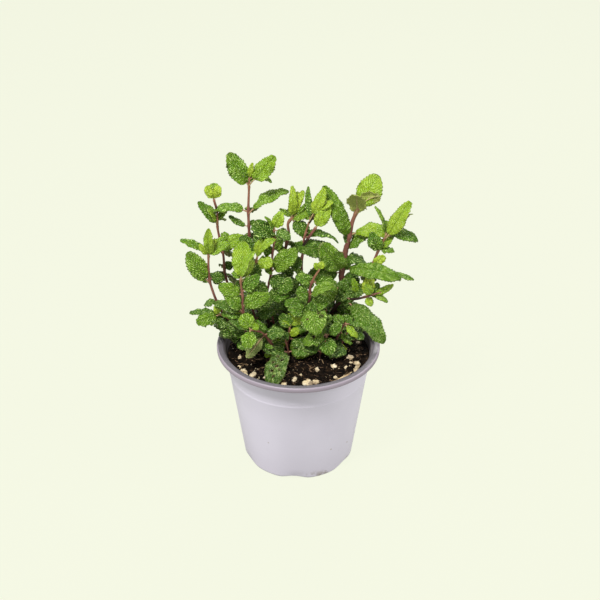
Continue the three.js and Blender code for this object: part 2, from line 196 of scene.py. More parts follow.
def new_material(name):
    material = bpy.data.materials.new(name)
    material.use_nodes = True
    nodes = Nodes(material.node_tree)
    return material, nodes, material.node_tree.nodes["Principled BSDF"]


def use_group(nodes, tree, values):
    node = nodes.add("ShaderNodeGroup", node_tree=tree)
    return nodes.feed(node, values).outputs


# ---------- reading the frame ----------

def corner_points(name):
    """The corner points of a CAD node, each once."""
    found = {}
    for vertex in frame["nodes"][name].data.vertices:
        key = tuple(round(c / (0.02 * MM)) for c in vertex.co)
        found[key] = vertex.co.copy()
    return list(found.values())


def middle(points):
    return sum(points, Vector()) / len(points)


RING_REACH = 2.3 * MM     # neighbours on one ring of a stem's mesh are closer than this


def ring_middles(name):
    """The middle and radius of each ring of a stem's mesh, from its root to its tip."""
    points = corner_points(name)
    rings = []
    while points:
        ring = [points.pop()]
        for point in ring:
            near = [p for p in points if (p - point).length < RING_REACH]
            points = [p for p in points if (p - point).length >= RING_REACH]
            ring += near
        centre = middle(ring)
        rings.append((centre, max((p - centre).length for p in ring)))
    path = [min(rings, key=lambda ring: ring[0].z)]
    rings.remove(path[0])
    while rings:
        after = min(rings, key=lambda ring: (ring[0] - path[-1][0]).length)
        rings.remove(after)
        path.append(after)
    return path


def along_spline(points, step):
    """Points on a smooth curve through the given ones, a step apart or less."""
    ends = [points[0] * 2 - points[1], *points, points[-1] * 2 - points[-2]]
    result = []
    for before, a, b, after in zip(ends, ends[1:], ends[2:], ends[3:]):
        count = max(1, math.ceil((b - a).length / step))
        for i in range(count):
            t = i / count
            result.append(0.5 * (2 * a + (b - before) * t
                                 + (2 * before - 5 * a + 4 * b - after) * t ** 2
                                 + (3 * a - before - 3 * b + after) * t ** 3))
    return result + [points[-1]]


class Stem:
    """A stem's middle line, and its radius along it."""

    def __init__(self, name, centres, root_radius, tip_radius):
        self.name = name
        self.line = along_spline(centres, 1.5 * MM)
        self.root_radius = root_radius
        self.tip_radius = tip_radius
        self.joints = []

    def radius(self, index):
        return mix(self.root_radius, self.tip_radius, index / (len(self.line) - 1))

    def index_seen(self, height):
        """Where the stem first looks this high from the front."""
        for index, point in enumerate(self.line):
            if seen_height(point) >= height:
                return index
        return len(self.line) - 1

    def index_at(self, rise):
        """Where the stem first reaches this height above the soil's edge."""
        goal = SOIL_EDGE + rise
        for index, point in enumerate(self.line):
            if point.z >= goal:
                return index
        return len(self.line) - 1


LOOK_SLOPE = 0.6     # how much higher a point looks from the front for each mm back


def seen_height(point):
    """How high over the floor a point looks from the front, in mm."""
    return (point.z + LOOK_SLOPE * point.y) / MM


STEM_PREFIX = "stem_"
LEAF_PREFIX = "leaf_"
FRAMED_FOLD = math.radians(16)     # how steeply each half of a framed leaf rises


def read_stems():
    stems = {}
    for node in sorted(frame["nodes"]):
        if node.startswith(STEM_PREFIX):
            rings = ring_middles(node)
            centres = [centre for centre, _ in rings]
            name = node[len(STEM_PREFIX):]
            stems[name] = Stem(name, centres, rings[0][1], rings[-1][1])
    return stems


def leaf_frame(node, stem):
    """A CAD leaf's base, tip, upper side, width and bow, and where it joins its stem."""
    points = corner_points(node)

    def gap(point):
        return min((point - on_stem).length for on_stem in stem.line)

    nearest = min(points, key=gap)
    base = middle([p for p in points if (p - nearest).length < 2.2 * MM])
    farthest = max(points, key=lambda p: (p - base).length)
    tip = middle([p for p in points if (p - farthest).length < 1.4 * MM])
    reach = tip - base
    along = reach.normalized()
    half_way = [p for p in points if abs((p - base).dot(along) / reach.length - 0.5) < 0.06]
    pairs = [(p, q) for p in half_way for q in half_way]
    left, right = max(pairs, key=lambda pair: (pair[0] - pair[1]).length)
    side = (left - right).normalized()
    upper = side.cross(along).normalized()
    edge = (left + right) / 2
    inner = sorted(half_way, key=lambda p: (p - edge).length)[:2]
    if (edge - middle(inner)).dot(upper) < 0:
        upper = -upper
    bow = (middle(inner) - (base + tip) / 2).dot(upper) / reach.length
    index = min(range(len(stem.line)), key=lambda i: (stem.line[i] - base).length)
    stem.joints.append(index)
    return {
        "base": stem.line[index], "reach": tip - stem.line[index], "face": upper,
        "width": (left - right).length / math.cos(FRAMED_FOLD), "bow": bow,
    }


# ---------- leaves ----------

LEAF_THICKNESS = 0.42 * MM


def half_outline(share, blunt=0.62):
    """Half of a mint blade's width, as a share of its widest, from base to tip."""
    return max(0.03, math.sin(math.pi * share ** 0.86) ** blunt)


def tooth(share, count):
    """Saw teeth that point towards the tip."""
    step = (share * count) % 1
    return step / 0.7 if step < 0.7 else (1 - step) / 0.3


def pit(phase, width):
    """0 where a phase is whole, 1 away from there."""
    distance = min(phase % 1, 1 - phase % 1)
    return 1 - math.exp(-(distance / width) ** 2)


class LeafShape:
    """A crinkled, toothed blade on a stalk. Lengths in metres, angles in degrees."""

    def __init__(self, base, reach, face, width, age, seed, bow=0.08, fold=14,
                 droop=0.10, stalk=0.14, wave=1.0, twist=0.0, holes=(), speckle=0.0,
                 blunt=0.58, fine=0.62):
        self.base = Vector(base)
        self.length = Vector(reach).length
        self.along = Vector(reach).normalized()
        face = Vector(face)
        upper = face - self.along * face.dot(self.along)
        if upper.length < 0.05:
            upper = UP - self.along * UP.dot(self.along)
        self.upper = upper.normalized()
        self.side = self.upper.cross(self.along)
        self.width = width
        self.age = age
        self.bow = bow
        self.fold = math.radians(fold)
        self.droop = droop
        self.stalk = stalk
        self.wave = wave
        self.twist = math.radians(twist)
        self.holes = holes
        self.speckle = speckle
        self.blunt = blunt
        self.spacing = fine * MM
        self.random = random.Random(seed)
        self.offset = Vector([self.random.uniform(-50, 50) for _ in range(3)])
        self.veins = max(5, round(self.length * (1 - stalk) / (2.7 * MM)))
        self.teeth = max(6, round(self.length * (1 - stalk) / (2.5 * MM)))

    def spine(self, share):
        """The stalk's and midrib's line, from the stem to the tip."""
        rise = self.bow * 4 * share * (1 - share)
        rise -= self.droop * smooth(0.55, 1.0, share) * (share - 0.55)
        sway = 0.03 * math.sin(2.6 * share + self.offset.x)
        return (self.base + self.along * (share * self.length)
                + self.upper * (rise * self.length) + self.side * (sway * self.length))

    def half_width(self, share):
        return half_outline(share, self.blunt) * self.width / 2

    def quilt(self, share, across):
        """0 on the veins, up to 1 on the raised blocks between them."""
        row = self.veins * (share - 0.40 * abs(across) ** 1.15)
        row += 0.35 * noise.noise(Vector((share * 7, across * 4, 7)) + self.offset)
        out = abs(across) * self.half_width(share) / (1.9 * MM)
        out += 0.5 * (math.floor(row) % 2)
        out += 0.4 * noise.noise(Vector((share * 11, across * 6, 2)) + self.offset)
        across_rib = 1 - math.exp(-(across * self.half_width(share) / (0.5 * MM)) ** 2)
        return pit(row, 0.17) * (0.35 + 0.65 * pit(out, 0.22)) * across_rib

    def point(self, blade_share, across):
        share = mix(self.stalk, 1, blade_share)
        half = self.half_width(blade_share)
        edge = abs(across) ** 5
        ragged = 0.7 + 0.6 * noise.noise(Vector((share * 12, across, 5)) + self.offset)
        teeth = tooth(blade_share, self.teeth) * min(1.3 * MM, self.width * 0.10)
        half += edge * teeth * ragged * smooth(0.04, 0.2, blade_share)
        half *= 1 + 0.16 * noise.noise(Vector((share * 6, across, 11)) + self.offset)
        out = across * half
        turn = self.twist * blade_share
        lump = noise.noise(Vector((share * 9, across * 3, 0)) + self.offset)
        ripple = noise.noise(Vector((share * 6, across, 3)) + self.offset)
        raised = self.quilt(blade_share, across) * (1 - edge)
        lift = abs(out) * math.sin(self.fold)
        lift -= across ** 2 * half * 0.30
        room = smooth(0.0, 0.5, 2 * half / self.width)
        raised *= mix(0.5, 1, smooth(0.1, 0.6, self.age))
        lift += room * raised * (0.9 + 0.7 * lump) * min(1.15 * MM, self.width * 0.09)
        lift += room * self.wave * ripple * across ** 2 * self.width * 0.24
        flat = out * math.cos(self.fold)
        sideways = self.side * math.cos(turn) + self.upper * math.sin(turn)
        upwards = self.upper * math.cos(turn) - self.side * math.sin(turn)
        return self.spine(share) + sideways * flat + upwards * lift


def hole_wear(shape, share, across):
    """How deep a place on the blade is in an eaten hole: over 1 is gone."""
    wear = 0
    for place, side, size in shape.holes:
        distance = math.hypot((share - place) * shape.length,
                              (across - side) * shape.half_width(share))
        wear = max(wear, 1 - (distance - size * MM) / (1.2 * MM))
    return wear


def add_blade(bm, shape, layers):
    rows = min(84, max(12, round(shape.length * 0.86 / shape.spacing)))
    columns = 2 * min(17, max(4, round(shape.width / shape.spacing / 2.5)))
    grid = bmesh.ops.create_grid(bm, x_segments=rows, y_segments=columns, size=1)
    verts = grid["verts"]
    uv = {}
    for vert in verts:
        share = (vert.co.x + 1) / 2
        across = vert.co.y
        uv[vert] = (share, across)
        vert[layers["age"]] = shape.age
        vert[layers["speckle"]] = shape.speckle
        vert[layers["quilt"]] = shape.quilt(share, across)
        vert[layers["wear"]] = max(0, hole_wear(shape, share, across))
        place = Vector((share * shape.length, across * shape.half_width(share), 0))
        vert[layers["blade"]] = place / (10 * MM) + shape.offset / 10
        vert.co = shape.point(share, across)
    faces = list({face for vert in verts for face in vert.link_faces})
    for face in faces:
        for loop in face.loops:
            share, across = uv[loop.vert]
            loop[layers["uv"]].uv = (share, (across + 1) / 2)
    if shape.holes:
        gone = [f for f in faces
                if sum(v[layers["wear"]] for v in f.verts) / len(f.verts) > 0.98]
        bmesh.ops.delete(bm, geom=gone, context="FACES")
        faces = [f for f in faces if f.is_valid]
    bmesh.ops.recalc_face_normals(bm, faces=faces)
    centre = faces[len(faces) // 2]
    if centre.normal.dot(shape.upper) < 0:
        bmesh.ops.reverse_faces(bm, faces=faces)
    give_thickness(bm, faces)


def give_thickness(bm, faces):
    """Closes a sheet into a thin shell whose under side has its own material."""
    before = set(bm.faces)
    bmesh.ops.solidify(bm, geom=faces, thickness=LEAF_THICKNESS)
    for face in bm.faces:
        if face not in before:
            face.material_index = 1


def add_rod(bm, line, radii, sides, material, layers=None, square=0.0, values=None):
    """A closed rod along a line, pushed on ring by ring from a disc."""
    disc = bmesh.ops.create_circle(bm, cap_ends=True, segments=sides, radius=1)
    ring = disc["verts"]
    turns = [math.atan2(v.co.y, v.co.x) for v in ring]
    faces = set(ring[0].link_faces)
    across = (line[1] - line[0]).orthogonal().normalized()
    for step, point in enumerate(line):
        ahead = line[min(step + 1, len(line) - 1)] - line[max(step - 1, 0)]
        ahead.normalize()
        across = (across - ahead * across.dot(ahead)).normalized()
        up = ahead.cross(across)
        if step:
            edges = [e for v in ring for e in v.link_edges
                     if all(w in ring for w in e.verts)]
            pushed = bmesh.ops.extrude_edge_only(bm, edges=list(set(edges)))["geom"]
            fresh = [g for g in pushed if isinstance(g, bmesh.types.BMVert)]
            twins = {}
            for vert in fresh:
                for edge in vert.link_edges:
                    if edge.other_vert(vert) in ring:
                        twins[edge.other_vert(vert)] = vert
            ring = [twins[v] for v in ring]
            faces |= {g for g in pushed if isinstance(g, bmesh.types.BMFace)}
        for vert, turn in zip(ring, turns):
            radius = radii[step] * (1 + square * math.cos(4 * turn))
            vert.co = point + (across * math.cos(turn) + up * math.sin(turn)) * radius
            if layers and values:
                for name, value in values(step).items():
                    vert[layers[name]] = value
    faces.add(bmesh.ops.contextual_create(bm, geom=ring)["faces"][0])
    for face in faces:
        face.material_index = material
    bmesh.ops.recalc_face_normals(bm, faces=list(faces))


def add_stalk(bm, shape, layers):
    """The leaf's stalk, which runs on under the blade as its midrib."""
    count = max(8, round(shape.length / (2 * MM)))
    shares = [0.97 * i / count for i in range(count + 1)]
    root = min(0.75 * MM, 0.3 * MM + shape.width * 0.035)
    line = []
    radii = []
    for share in shares:
        under = smooth(shape.stalk * 0.8, shape.stalk * 1.3, share)
        radius = mix(root, 0.12 * MM, share ** 0.7)
        line.append(shape.spine(share) - shape.upper * under * (LEAF_THICKNESS + radius * 0.5))
        radii.append(radius)

    def values(step):
        return {"age": shape.age}

    add_rod(bm, line, radii, 6, 2, layers, values=values)


def leaf_mesh(shapes):
    def add_one(bm, number):
        layers = {}
        layers["uv"] = bm.loops.layers.uv.get("blade_uv") or bm.loops.layers.uv.new("blade_uv")
        for name in ("age", "speckle", "wear", "quilt"):
            found = bm.verts.layers.float
            layers[name] = found.get(name) or found.new(name)
        found = bm.verts.layers.float_vector
        layers["blade"] = found.get("blade") or found.new("blade")
        add_blade(bm, shapes[number], layers)
        add_stalk(bm, shapes[number], layers)

    return in_batches(len(shapes), add_one, 1)


def vein_group():
    """The fine net between a blade's veins, and its height, from its own coordinates."""
    nodes, source, sink = new_group(
        "mint veins",
        [("Place", "NodeSocketVector"), ("Raised", "NodeSocketFloat")],
        [("Veins", "NodeSocketFloat"), ("Net", "NodeSocketFloat"),
         ("Height", "NodeSocketFloat")])
    veins = nodes.range(source["Raised"], 0.12, 0.5, 1.0, 0.0)
    net = nodes.cells(source["Place"], 8.5, "DISTANCE_TO_EDGE")
    net_line = nodes.range(net, 0.015, 0.12, 1.0, 0.0)
    pillow = nodes.math("MULTIPLY", nodes.range(net, 0.0, 0.4), 0.35)
    height = nodes.math("ADD", nodes.math("MULTIPLY", source["Raised"], 0.65), pillow)
    nodes.feed(sink, {"Veins": veins, "Net": net_line, "Height": height})
    return nodes.tree


def leaf_inputs(nodes, veins):
    place = nodes.attribute("blade", "Vector")
    lines = use_group(nodes, veins, {"Place": place, "Raised": nodes.attribute("quilt")})
    uv = nodes.add("ShaderNodeUVMap", uv_map="blade_uv").outputs["UV"]
    split = nodes.feed(nodes.add("ShaderNodeSeparateXYZ"), {0: uv}).outputs
    out = nodes.math("ABSOLUTE", nodes.math(
        "SUBTRACT", nodes.math("MULTIPLY", split["Y"], 2.0), 1.0))
    return place, lines, out


BLADE_COLOURS = [
    (0.00, (0.40, 0.52, 0.030)),
    (0.30, (0.20, 0.35, 0.006)),
    (0.60, (0.076, 0.195, 0.003)),
    (1.00, (0.021, 0.074, 0.002)),
]


def blade_material(veins):
    material, nodes, shader = new_material("mint_blade")
    place, lines, across = leaf_inputs(nodes, veins)
    margin = nodes.range(across, 0.90, 0.99)
    age = nodes.attribute("age")
    patch = nodes.noise(place, 1.3, 3.0)
    shade = nodes.math("ADD", age, nodes.math("MULTIPLY", nodes.math(
        "SUBTRACT", patch, 0.5), 0.4), clamp=True)
    colour = nodes.ramp(shade, BLADE_COLOURS)
    relief = nodes.range(age, 0.1, 0.6, 0.55, 1.0)
    quilt = nodes.attribute("quilt")
    # Painted shade: the sunken veins between the raised blocks are darkened towards a deep
    # green, where shade falls in the creases.
    painted_valley_shade = nodes.math("MULTIPLY", nodes.range(quilt, 0.05, 0.55, 0.75, 0.0), relief)
    colour = nodes.blend(painted_valley_shade, colour, (0.010, 0.060, 0.001, 1))
    # Painted highlight: in spots, the tops of the raised blocks are lightened towards a pale
    # yellow-green, as if catching the light.
    painted_highlight_spots = nodes.range(nodes.noise(place, 6.0, 2.0), 0.40, 0.58, 0.0, 0.85)
    top = nodes.math("MULTIPLY", nodes.range(quilt, 0.55, 0.95), painted_highlight_spots)
    colour = nodes.blend(nodes.math("MULTIPLY", top, relief), colour,
                         (0.52, 0.68, 0.22, 1))
    rib = nodes.range(across, 0.0, 0.06, 0.5, 0.0)
    line = nodes.math("MAXIMUM", rib, nodes.math("MULTIPLY", lines["Net"], 0.15))
    colour = nodes.blend(line, colour, (0.42, 0.56, 0.12, 1))
    # Painted highlight: small pale dots, on leaves given painted glints, stand in for glints
    # of light on the blade.
    painted_glint_dots = nodes.range(nodes.cells(place, 12.0), 0.05, 0.36, 1.0, 0.0)
    painted_glint_dots = nodes.math("MULTIPLY", painted_glint_dots, nodes.attribute("speckle"))
    colour = nodes.blend(painted_glint_dots, colour, (0.50, 0.60, 0.26, 1))
    colour = nodes.blend(nodes.math("MULTIPLY", margin, 0.45), colour,
                         (0.07, 0.06, 0.02, 1))
    scar = nodes.range(nodes.attribute("wear"), 0.25, 0.9)
    colour = nodes.blend(nodes.math("MULTIPLY", scar, 0.8), colour, (0.10, 0.06, 0.02, 1))
    rough = nodes.range(patch, 0.3, 0.7, 0.36, 0.24)
    height = nodes.math("ADD", lines["Height"], nodes.math(
        "MULTIPLY", nodes.noise(place, 40.0, 2.0), 0.08))
    height = nodes.math("MULTIPLY", height, relief)
    nodes.feed(shader, {
        "Base Color": colour, "Roughness": rough, "Specular IOR Level": 0.34,
        "Normal": nodes.bump(height, 1.0, 1.05 * MM),
    })
    return material


def under_material(veins):
    material, nodes, shader = new_material("mint_under_side")
    place, lines, across = leaf_inputs(nodes, veins)
    margin = nodes.range(across, 0.90, 0.99)
    colour = nodes.ramp(nodes.attribute("age"), [
        (0.0, (0.40, 0.46, 0.07)), (0.5, (0.21, 0.29, 0.055)), (1.0, (0.10, 0.155, 0.045))])
    line = nodes.math("MAXIMUM", lines["Veins"], nodes.math("MULTIPLY", lines["Net"], 0.5))
    colour = nodes.blend(nodes.math("MULTIPLY", line, 0.6), colour, (0.42, 0.47, 0.20, 1))
    patch = nodes.noise(place, 2.0, 2.0)
    colour = nodes.blend(nodes.math("MULTIPLY", patch, 0.35), colour, (0.16, 0.17, 0.07, 1))
    colour = nodes.blend(nodes.math("MULTIPLY", margin, 0.4), colour, (0.09, 0.06, 0.03, 1))
    height = nodes.math("SUBTRACT", line, lines["Height"])
    nodes.feed(shader, {
        "Base Color": colour, "Roughness": nodes.range(patch, 0.2, 0.8, 0.55, 0.7),
        "Specular IOR Level": 0.3, "Normal": nodes.bump(height, 0.6, 0.5 * MM),
    })
    return material


def stalk_material():
    material, nodes, shader = new_material("leaf_stalk")
    place = nodes.object_place()
    colour = nodes.ramp(nodes.attribute("age"), [
        (0.0, (0.50, 0.48, 0.18)), (0.5, (0.38, 0.26, 0.14)), (1.0, (0.22, 0.12, 0.07))])
    patch = nodes.noise(place, 300.0, 2.0)
    colour = nodes.blend(nodes.math("MULTIPLY", patch, 0.6), colour, (0.30, 0.10, 0.09, 1))
    nodes.feed(shader, {
        "Base Color": colour, "Roughness": nodes.range(patch, 0.2, 0.8, 0.4, 0.6),
        "Normal": nodes.bump(patch, 0.2, 0.2 * MM),
    })
    return material


def slot_for(age):
    if age < 0.34:
        return "leaf_young"
    if age < 0.68:
        return "leaf_mid"
    return "leaf_dark"


AGE_OF_SLOT = {"leaf_young": 0.26, "leaf_mid": 0.52, "leaf_dark": 0.82}

# What a framed leaf has besides its place, in shape and colour: outline, fold, width, waves,
# holes, painted glints, and an age whose darker green is partly painted shade.
LEAF_HABITS = {
    "leaf_tall_right_1": {"blunt": 0.5, "fold": 6, "age": 0.22, "stalk": 0.04,
                          "shift": (1, 0, 1)},
    "leaf_tall_right_2": {"face": (0.15, 1, 0.3), "age": 0.12, "blunt": 0.45, "fold": 5,
                          "stalk": 0.04, "shift": (4, 0, 4)},
    "leaf_tall_right_3": {"wave": 1.4, "age": 0.5, "stalk": 0.05, "blunt": 0.5,
                          "shift": (12, -14, 4.5)},
    "leaf_tall_right_7": {"blunt": 0.42, "fold": 20, "age": 0.5},
    "leaf_tall_right_8": {"blunt": 0.42, "age": 0.55},
    "leaf_tall_left_1": {"wave": 1.5, "blunt": 0.5, "age": 0.5, "width": 16 * MM},
    "leaf_tall_left_2": {"wave": 1.5, "blunt": 0.45, "age": 0.32, "width": 14 * MM,
                         "stalk": 0.28},
    "leaf_middle_right_1": {"width": 9 * MM, "age": 0.15, "stalk": 0.3},
    "leaf_right_1": {"width": 13 * MM},
    "leaf_mid_left_1": {"blunt": 0.5},
    "leaf_middle_left_2": {"blunt": 0.5, "wave": 1.4},
    "leaf_low_left_2": {"age": 0.5},
    "leaf_front_left_1": {"age": 0.48},
    "leaf_front_3": {"age": 0.95, "speckle": 0.9, "width": 18 * MM, "fold": 8, "wave": 1.6,
                     "holes": [(0.28, -0.2, 1.2), (0.38, 0.35, 1.5), (0.47, -0.35, 1.3),
                               (0.55, 0.1, 1.7), (0.62, 0.5, 1.0), (0.68, -0.3, 1.4),
                               (0.78, 0.1, 1.1)]},
    "leaf_middle_front_3": {"holes": [(0.3, 0.5, 1.2), (0.45, 0.6, 1.5), (0.4, -0.5, 0.9)],
                            "speckle": 0.8},
    "leaf_front_right_1": {"holes": [(0.45, -0.25, 1.3)], "speckle": 0.5},
    "leaf_tall_right_10": {"speckle": 0.9},
    "leaf_right_5": {"speckle": 0.9, "wave": 1.7, "age": 0.68},
    "leaf_tall_right_9": {"age": 0.85},
}


def make_framed_leaves(stems, materials):
    slots = {row["node"]: row["material_slot"] for row in frame["record"]["subparts"]}
    for seed, node in enumerate(sorted(frame["nodes"])):
        if not node.startswith(LEAF_PREFIX):
            continue
        stem = stems[node[len(LEAF_PREFIX):].rsplit("_", 1)[0]]
        facts = leaf_frame(node, stem)
        age = AGE_OF_SLOT[slots[node]] + random.Random(seed).uniform(-0.08, 0.08)
        habits = dict(LEAF_HABITS.get(node, {}))
        facts["reach"] += Vector(habits.pop("shift", (0, 0, 0))) * MM
        facts.update(age=age, seed=seed, fine=0.42)
        facts.update(habits)
        shape = LeafShape(**facts)
        make_piece("mint_" + node, leaf_mesh([shape]), materials, [node])


# The rest of the leaves. Each row: how high the joint looks, then the tip's place to the
# right, its depth behind the joint, how high it looks, all in mm; width; age from 0 to 1,
# whose darker green is partly painted shade on leaves deep in the plant; the direction that
# the upper side faces, the front unless given; and any habits.
LEVEL = (0, -0.3, 1)
SIDE_LEFT = (-1, -0.5, 0.3)
SIDE_RIGHT = (1, -0.5, 0.3)
HIDDEN = (0, 0.8, 0.6)

